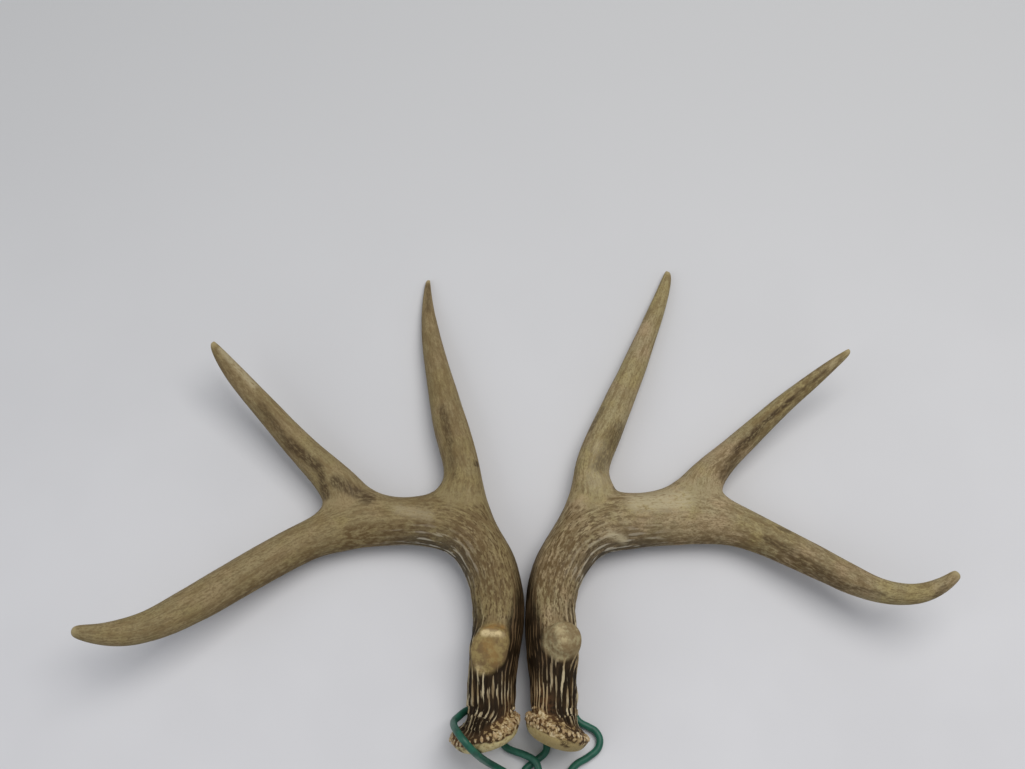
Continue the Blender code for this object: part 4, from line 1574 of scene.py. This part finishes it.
def wave_round(group, name, count, crowd):
    """The ridges' wave from one set of straightened coordinates."""
    parts = add_node(group, "ShaderNodeSeparateXYZ")
    fill_socket(group, parts.inputs[0], attribute(group, name, "Vector"))
    angle = calculate(group, "ARCTAN2", parts.outputs["Y"], parts.outputs["X"])
    crowded = calculate(group, "MULTIPLY", calculate(group, "SINE", angle), crowd)
    strayed = attribute(group, "strayed")
    waves = []
    for times, stray in ((1.0, 1.0), (FINER, -2.0)):
        turned = calculate(group, "MULTIPLY", count, times)
        turned = calculate(group, "MULTIPLY_ADD", angle, turned, crowded)
        turned = calculate(group, "MULTIPLY_ADD", strayed, stray, turned)
        waves.append(calculate(group, "COSINE", turned))
    both = mix_values(group, FINER_SHARE, *waves)
    return calculate(group, "MULTIPLY_ADD", both, 0.5, 0.5)


def make_ridge_lines():
    """A group that gives 1 along the ridges and 0 along the grooves."""
    group, given, wanted = start_group(
        "ridge_lines",
        [("Ridges Round", "NodeSocketFloat", RIDGES_ROUND),
         ("Crowding", "NodeSocketFloat", RIDGES_CROWD),
         ("Tine Ridges", "NodeSocketFloat", TINE_RIDGES)],
        [("Lines", "NodeSocketFloat")],
    )
    beam = wave_round(group, "beam_grain", given["Ridges Round"], given["Crowding"])
    tine = wave_round(group, "tine_grain", given["Tine Ridges"], 0.0)
    fill_socket(group, wanted["Lines"], mix_values(group, attribute(group, "tine_share"), beam, tine))
    return group


ridge_group = make_ridge_lines()
print(ridge_group.name, "has", len(ridge_group.nodes), "nodes")

# %% [markdown]
# ## Mottling and pits
#
# Weather and handling leave soft patches, and the pores show as fine dark specks.  Both come
# from the place in the model, not from the branch, because they follow no grain.

# %% The group for patches and specks


def make_mottle():
    """A group that gives soft patches and fine specks, both between 0 and 1."""
    group, given, wanted = start_group(
        "mottle_and_specks",
        [("Patch Scale", "NodeSocketFloat", 60.0), ("Speck Scale", "NodeSocketFloat", 900.0),
         ("Speck Share", "NodeSocketFloat", 0.3)],
        [("Patches", "NodeSocketFloat"), ("Specks", "NodeSocketFloat")],
    )
    where = add_node(group, "ShaderNodeTexCoord").outputs["Object"]
    patches = add_node(group, "ShaderNodeTexNoise", Vector=where, Scale=given["Patch Scale"],
                       Detail=3.0, Roughness=0.55)
    fill_socket(group, wanted["Patches"], spread(group, patches.outputs["Fac"], 0.35, 0.65))
    specks = add_node(group, "ShaderNodeTexNoise", Vector=where, Scale=given["Speck Scale"],
                      Detail=2.0, Roughness=0.5)
    edge = calculate(group, "SUBTRACT", 0.75, calculate(group, "MULTIPLY", given["Speck Share"], 0.5))
    soft_edge = calculate(group, "ADD", edge, 0.08)
    fill_socket(group, wanted["Specks"], spread(group, specks.outputs["Fac"], edge, soft_edge))
    return group


mottle_group = make_mottle()
print(mottle_group.name, "has", len(mottle_group.nodes), "nodes")


def small_mottle(tree, scale):
    """A plain noise in the model's own space."""
    where = add_node(tree, "ShaderNodeTexCoord").outputs["Object"]
    made = add_node(tree, "ShaderNodeTexNoise", Vector=where, Scale=scale, Detail=4.0, Roughness=0.6)
    return made.outputs["Fac"]


# %% [markdown]
# ## The stained lower beam
#
# The colour of an antler comes from bark and blood that dried in its grooves, while the crests
# are rubbed pale.  On the lower beam the grooves are near black.  The crests are cream on the
# outer side and brown on the sheltered inner side, and rust red close to the burr.

# %% Colour the ridges of the lower beam
GROOVE_BLACK = colour(0.014, 0.008, 0.003)
GROOVE_BROWN = colour(0.036, 0.021, 0.009)
GROOVE_RUST = colour(0.12, 0.056, 0.022)
CREST_CREAM = colour(0.48, 0.40, 0.25)
CREST_TAN = colour(0.235, 0.17, 0.088)
CREST_BROWN = colour(0.105, 0.066, 0.032)
CREST_RUST = colour(0.40, 0.28, 0.14)


def colour_stained(tree, mask, crest, patches, broad):
    """Cream or brown crests over dark grooves."""
    groove = mix_colours(tree, spread(tree, broad, 0.45, 0.70), GROOVE_BLACK, GROOVE_BROWN)
    groove = mix_colours(tree, calculate(tree, "MULTIPLY", mask["rust"], patches), groove, GROOVE_RUST)
    pale = mix_colours(tree, spread(tree, broad, 0.40, 0.60), CREST_CREAM, CREST_TAN)
    pale = mix_colours(tree, mask["cream"], CREST_BROWN, pale)
    pale = mix_colours(tree, mask["rust"], pale, CREST_RUST)
    return mix_colours(tree, crest, groove, pale)


print("a cream crest is", round(CREST_CREAM[0] / GROOVE_BLACK[0]), "times as bright as a groove")

# %% [markdown]
# ## The weathered upper part
#
# Past the brow stub the bone is tan, with short brown dashes in its shallow grooves.  It is
# browner at the bend and along the lower edge of the middle beam, a brown that is partly painted
# shade.  The outer edge of the bend keeps pale ridges.
# Bark juice has left a few dark bands, and those are placed one by one in the tables.

# %% Colour the weathered bone
BONE_OLIVE = colour(0.335, 0.272, 0.122)
BONE_PINK = colour(0.375, 0.285, 0.165)
BONE_GREY = colour(0.31, 0.265, 0.150)
BONE_AGED = colour(0.215, 0.165, 0.075)
STREAK_BROWN = colour(0.165, 0.112, 0.050)
DASH_BROWN = colour(0.085, 0.053, 0.024)
# brown bone, and painted shade on the bend and the lower edge of the middle beam
PAINTED_SHADE_BROWN = colour(0.120, 0.078, 0.034)
EDGE_GROOVE = colour(0.070, 0.055, 0.036)
EDGE_CREST = colour(0.42, 0.385, 0.30)
BAND_BROWN = colour(0.060, 0.038, 0.019)
WORN_PALE = colour(0.44, 0.375, 0.235)


def colour_plain(tree, mask, streaks, mottle):
    """Tan bone in olive, pink and grey, with faint streaks and a fine brown grain."""
    plain = mix_colours(tree, spread(tree, small_mottle(tree, 24.0), 0.42, 0.58), BONE_OLIVE, BONE_PINK)
    plain = mix_colours(tree, calculate(tree, "MULTIPLY", mottle["Patches"], 0.7), plain, BONE_GREY)
    plain = mix_colours(tree, mask["aged"], plain, BONE_AGED)
    broad = spread(tree, streaks["broad"], 0.44, 0.66, high=0.6)
    broad = calculate(tree, "MULTIPLY", broad, mask["streaky"])
    plain = mix_colours(tree, broad, plain, STREAK_BROWN)
    return mix_colours(tree, spread(tree, streaks["grain"], 0.44, 0.68, high=0.62), plain, STREAK_BROWN)


def colour_weathered(tree, mask, crest, lines, streaks, mottle):
    """Plain bone with dashes, brown and painted shade, pale edge ridges and dark bands."""
    plain = colour_plain(tree, mask, streaks, mottle)
    grooves = calculate(tree, "SUBTRACT", 1.0, lines)
    dashes = calculate(tree, "MULTIPLY_ADD", grooves, 0.13, streaks["dash"])
    dashes = calculate(tree, "MULTIPLY", spread(tree, dashes, 0.54, 0.68, high=0.92), mask["flecks"])
    plain = mix_colours(tree, dashes, plain, DASH_BROWN)
    # the brown zones and painted shade, broken into blotches
    blotch = spread(tree, streaks["blotch"], 0.40, 0.60, low=0.15)
    plain = mix_colours(tree, calculate(tree, "MULTIPLY", mask["brown_and_shade"], blotch), plain, PAINTED_SHADE_BROWN)
    edge = mix_colours(tree, crest, EDGE_GROOVE, EDGE_CREST)
    ragged_edge = spread(tree, streaks["broad"], 0.30, 0.55, low=0.3)
    ragged_edge = calculate(tree, "MULTIPLY", ragged_edge, mask["edge"])
    plain = mix_colours(tree, ragged_edge, plain, edge)
    worn = calculate(tree, "MULTIPLY", mask["pale"], spread(tree, streaks["dash"], 0.30, 0.55))
    plain = mix_colours(tree, worn, plain, WORN_PALE)
    ragged_band = spread(tree, streaks["dash"], 0.32, 0.58, low=0.35)
    ragged_band = calculate(tree, "MULTIPLY", mask["dark"], ragged_band)
    return mix_colours(tree, ragged_band, plain, BAND_BROWN)


print("pink bone is", round(BONE_PINK[0] / DASH_BROWN[0], 1), "times as bright as a dash")

# %% [markdown]
# ## Bare bone at the seal and the stub
#
# The seal is smooth cream bone with a few pits, and the burr keeps dark bark between its grains.
# The left stub is golden and mottled with brown, and the right one is greyer and shows its
# growth rings.

# %% Colour the bare bone
SEAL_BONE = colour(0.53, 0.445, 0.225)
SEAL_TAN = colour(0.30, 0.215, 0.085)
SEAL_PIT = colour(0.06, 0.035, 0.016)
BURR_DARK = colour(0.055, 0.030, 0.013)
BURR_TAN = colour(0.33, 0.225, 0.100)
BURR_CREAM = colour(0.58, 0.47, 0.28)
STUB_GOLD = colour(0.30, 0.225, 0.092)
STUB_GREY = colour(0.325, 0.272, 0.150)
STUB_BROWN = colour(0.165, 0.105, 0.048)
STUB_RUST = colour(0.30, 0.175, 0.055)
STUB_CREAM = colour(0.64, 0.51, 0.28)
TIP_IVORY = colour(0.36, 0.29, 0.155)


def colour_seal(tree, mask, patches, mottle):
    """Cream bone with tan patches, dark pits and one ragged dark spot."""
    bone = mix_colours(tree, spread(tree, patches, 0.46, 0.70, high=0.8), SEAL_BONE, SEAL_TAN)
    bone = mix_colours(tree, mottle["Specks"], bone, SEAL_PIT)
    bone = mix_colours(tree, mask["brown_and_shade"], bone, SEAL_TAN)
    ragged = calculate(tree, "MULTIPLY", mask["dark"], spread(tree, patches, 0.34, 0.56))
    return mix_colours(tree, ragged, bone, SEAL_PIT)


def colour_burr(tree, mask, patches):
    """Dark bark between the pearls, with tan and cream grains where it has worn off."""
    grains = calculate(tree, "MULTIPLY_ADD", mask["grainy"], 0.15, patches)
    rim = mix_colours(tree, mask["rust"], BURR_DARK, GROOVE_RUST)
    rim = mix_colours(tree, spread(tree, grains, 0.58, 0.68), rim, BURR_TAN)
    return mix_colours(tree, spread(tree, grains, 0.68, 0.78), rim, BURR_CREAM)


def colour_stub(tree, mask, patches, fine, mottle):
    """Mottled bone with faint growth rings, and one bright worn facet."""
    bone = mix_colours(tree, mask["stub_gold"], STUB_GREY, STUB_GOLD)
    broad = small_mottle(tree, 150.0)
    much = calculate(tree, "MULTIPLY_ADD", mask["stub_gold"], 0.30, 0.55)
    mottled = calculate(tree, "MULTIPLY", spread(tree, broad, 0.46, 0.60), much)
    bone = mix_colours(tree, mottled, bone, STUB_BROWN)
    bone = mix_colours(tree, spread(tree, patches, 0.46, 0.60, high=0.55), bone, STUB_BROWN)
    bone = mix_colours(tree, calculate(tree, "MULTIPLY", mottle["Specks"], 0.7), bone, STUB_BROWN)
    ring = spread(tree, fine, 0.30, 0.60, low=0.05, high=0.40)
    bone = mix_colours(tree, calculate(tree, "MULTIPLY", mask["stub_ring"], ring), bone, STUB_BROWN)
    rusty = spread(tree, patches, 0.38, 0.56, low=0.25, high=0.9)
    bone = mix_colours(tree, calculate(tree, "MULTIPLY", mask["rust"], rusty), bone, STUB_RUST)
    facet = spread(tree, patches, 0.40, 0.56, low=1.0, high=0.45)
    facet = calculate(tree, "MULTIPLY", mask["pale"], facet)
    bone = mix_colours(tree, facet, bone, STUB_CREAM)
    return mix_colours(tree, mask["dark"], bone, SEAL_PIT)


print("the brightest bone is the stub's worn facet", STUB_CREAM[:3])

# %% [markdown]
# ## The antler's own finish
#
# One finish covers a whole antler, because it is one bone.  The masks that were kept on the mesh
# say which colour shows where, and fine streaks roughen every border between two colours.

# %% Build the antler finish


def roughened_crest(tree, mask, lines, fine):
    """The crests' mask, broken into beads and frayed at its edges."""
    beaded = calculate(tree, "MULTIPLY_ADD", mask["beads"], 0.58, lines)
    frayed = calculate(tree, "MULTIPLY_ADD", calculate(tree, "SUBTRACT", fine, 0.5), 0.9, beaded)
    return spread(tree, frayed, 0.65, 0.88)


def make_antler_finish():
    """One finish for a whole antler, led by the masks on its mesh."""
    finish, tree, shader = start_material("antler_bone", 0.5)
    mask = {name: attribute(tree, name) for name in MASK_NAMES}
    fine = use_group(tree, streaks_group, Fineness=1300.0, Stretch=7.0)["Mask"]
    streaks = {
        "broad": use_group(tree, streaks_group, Fineness=300.0, Stretch=4.5, Shift=40.0)["Mask"],
        "blotch": use_group(tree, streaks_group, Fineness=460.0, Stretch=2.4, Shift=160.0)["Mask"],
        "dash": use_group(tree, streaks_group, Fineness=850.0, Stretch=3.2, Shift=80.0)["Mask"],
        "grain": use_group(tree, streaks_group, Fineness=1150.0, Stretch=1.8, Shift=120.0)["Mask"],
    }
    mottle = use_group(tree, mottle_group, Patch_Scale=70.0, Speck_Scale=700.0, Speck_Share=0.22)
    lines = use_group(tree, ridge_group)["Lines"]
    patches = small_mottle(tree, 330.0)
    crest = roughened_crest(tree, mask, lines, fine)

    stained = colour_stained(tree, mask, crest, spread(tree, patches, 0.40, 0.60), streaks["broad"])
    weathered = colour_weathered(tree, mask, crest, lines, streaks, mottle)
    base = mix_colours(tree, mask["stain"], weathered, stained)
    base = mix_colours(tree, mask["burr"], base, colour_burr(tree, mask, patches))
    base = mix_colours(tree, mask["tip"], base, TIP_IVORY)
    base = mix_colours(tree, mask["seal"], base, colour_seal(tree, mask, patches, mottle))
    base = mix_colours(tree, mask["stub"], base, colour_stub(tree, mask, patches, fine, mottle))
    fill_socket(tree, shader.inputs["Base Color"], base)
    fill_socket(tree, shader.inputs["Roughness"], spread(tree, crest, 0.0, 1.0, low=0.66, high=0.46))
    shader.inputs["Specular IOR Level"].default_value = 0.09
    bump = add_node(tree, "ShaderNodeBump", Strength=0.35, Distance=0.0005, Height=fine)
    fill_socket(tree, shader.inputs["Normal"], bump.outputs["Normal"])
    return finish


give_finish(antlers.values(), make_antler_finish())

# %% [markdown]
# ## The pearls' finish
#
# The pearls stand out furthest and are rubbed first, so they are paler than the bone round
# them.  Only patches are still tan.  Each pearl's own share of tan keeps the rows from looking
# stamped.

# %% Build the pearl finish
PEARL_CREAM = colour(0.60, 0.50, 0.31)
PEARL_TAN = colour(0.36, 0.23, 0.10)
PEARL_BROWN = colour(0.24, 0.145, 0.060)


def make_pearl_finish():
    """Polished cream bone with tan patches."""
    finish, tree, shader = start_material("pearl_bone", 0.38)
    patches = small_mottle(tree, 300.0)
    tanned = calculate(tree, "MULTIPLY", attribute(tree, "tanned"), 0.8)
    base = mix_colours(tree, spread(tree, patches, 0.40, 0.57, high=0.9), PEARL_CREAM, PEARL_TAN)
    base = mix_colours(tree, tanned, base, PEARL_BROWN)
    fill_socket(tree, shader.inputs["Base Color"], base)
    shader.inputs["Specular IOR Level"].default_value = 0.35
    bump = add_node(tree, "ShaderNodeBump", Strength=0.2, Distance=0.0003, Height=patches)
    fill_socket(tree, shader.inputs["Normal"], bump.outputs["Normal"])
    return finish


give_finish(pearls.values(), make_pearl_finish())

# %% [markdown]
# ## The cord's finish
#
# The cord is a smooth dark green one with a faint sheen.  It has no plaiting to show, so it needs
# no pattern along its length, only a slight unevenness of colour and surface.

# %% Build the cord finish
CORD_GREEN = colour(0.014, 0.108, 0.066)
CORD_DEEP = colour(0.008, 0.072, 0.044)


def make_cord_finish():
    """Green plastic cord, a little uneven."""
    finish, tree, shader = start_material("green_cord_finish", 0.45)
    mottle = use_group(tree, mottle_group, Patch_Scale=180.0, Speck_Scale=2500.0)
    base = mix_colours(tree, mottle["Patches"], CORD_GREEN, CORD_DEEP)
    fill_socket(tree, shader.inputs["Base Color"], base)
    shader.inputs["Specular IOR Level"].default_value = 0.4
    bump = add_node(tree, "ShaderNodeBump", Strength=0.2, Distance=0.0002, Height=mottle["Specks"])
    fill_socket(tree, shader.inputs["Normal"], bump.outputs["Normal"])
    return finish


give_finish((cord, knot), make_cord_finish())

# %% [markdown]
# ## The floor's finish
#
# The floor is plain and pale, with the faintest unevenness, and a painted shade makes it a little
# darker towards the tines, where the studio light falls off.

# %% Build the floor finish
FLOOR_PALE = colour(0.655, 0.65, 0.66)
FLOOR_SHADE = colour(0.625, 0.62, 0.63)
FLOOR_FAR_SHADE = colour(0.53, 0.53, 0.53)
FLOOR_SHADE_FADE = (-0.25, 0.45)          # from the near side of the pair to past its tips


def make_floor_finish():
    """Plain pale floor, with a painted shade that darkens it a little with distance."""
    finish, tree, shader = start_material("pale_floor", 0.9)
    mottle = use_group(tree, mottle_group, Patch_Scale=6.0, Speck_Scale=300.0)
    base = mix_colours(tree, mottle["Patches"], FLOOR_PALE, FLOOR_SHADE)
    where = add_node(tree, "ShaderNodeTexCoord").outputs["Object"]
    parts = add_node(tree, "ShaderNodeSeparateXYZ", Vector=where)
    # painted shade that darkens the floor towards the tines
    base = mix_colours(tree, spread(tree, parts.outputs["Y"], *FLOOR_SHADE_FADE), base, FLOOR_FAR_SHADE)
    fill_socket(tree, shader.inputs["Base Color"], base)
    return finish


give_finish((floor,), make_floor_finish())

# %% [markdown]
# ## What stands for what
#
# Each antler stands for the five solids that the measured model splits it into.  The pearls sit
# on the lower beam, and the cord and its knot stand for theirs.  The whole pair is one body.

# %% Hand the pieces over
SPLIT_PARTS = ("lower_beam", "middle_beam", "second_tine", "third_tine", "beam_tip")

for side, antler in antlers.items():
    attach(antler, "root")
    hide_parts(*[side + "_" + part for part in SPLIT_PARTS])
    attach(pearls[side], "root")
for piece, node in ((cord, "tie_cord"), (knot, "tie_knot")):
    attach(piece, "root")
    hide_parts(node)
print("pieces handed over", 2 * len(antlers) + 2)
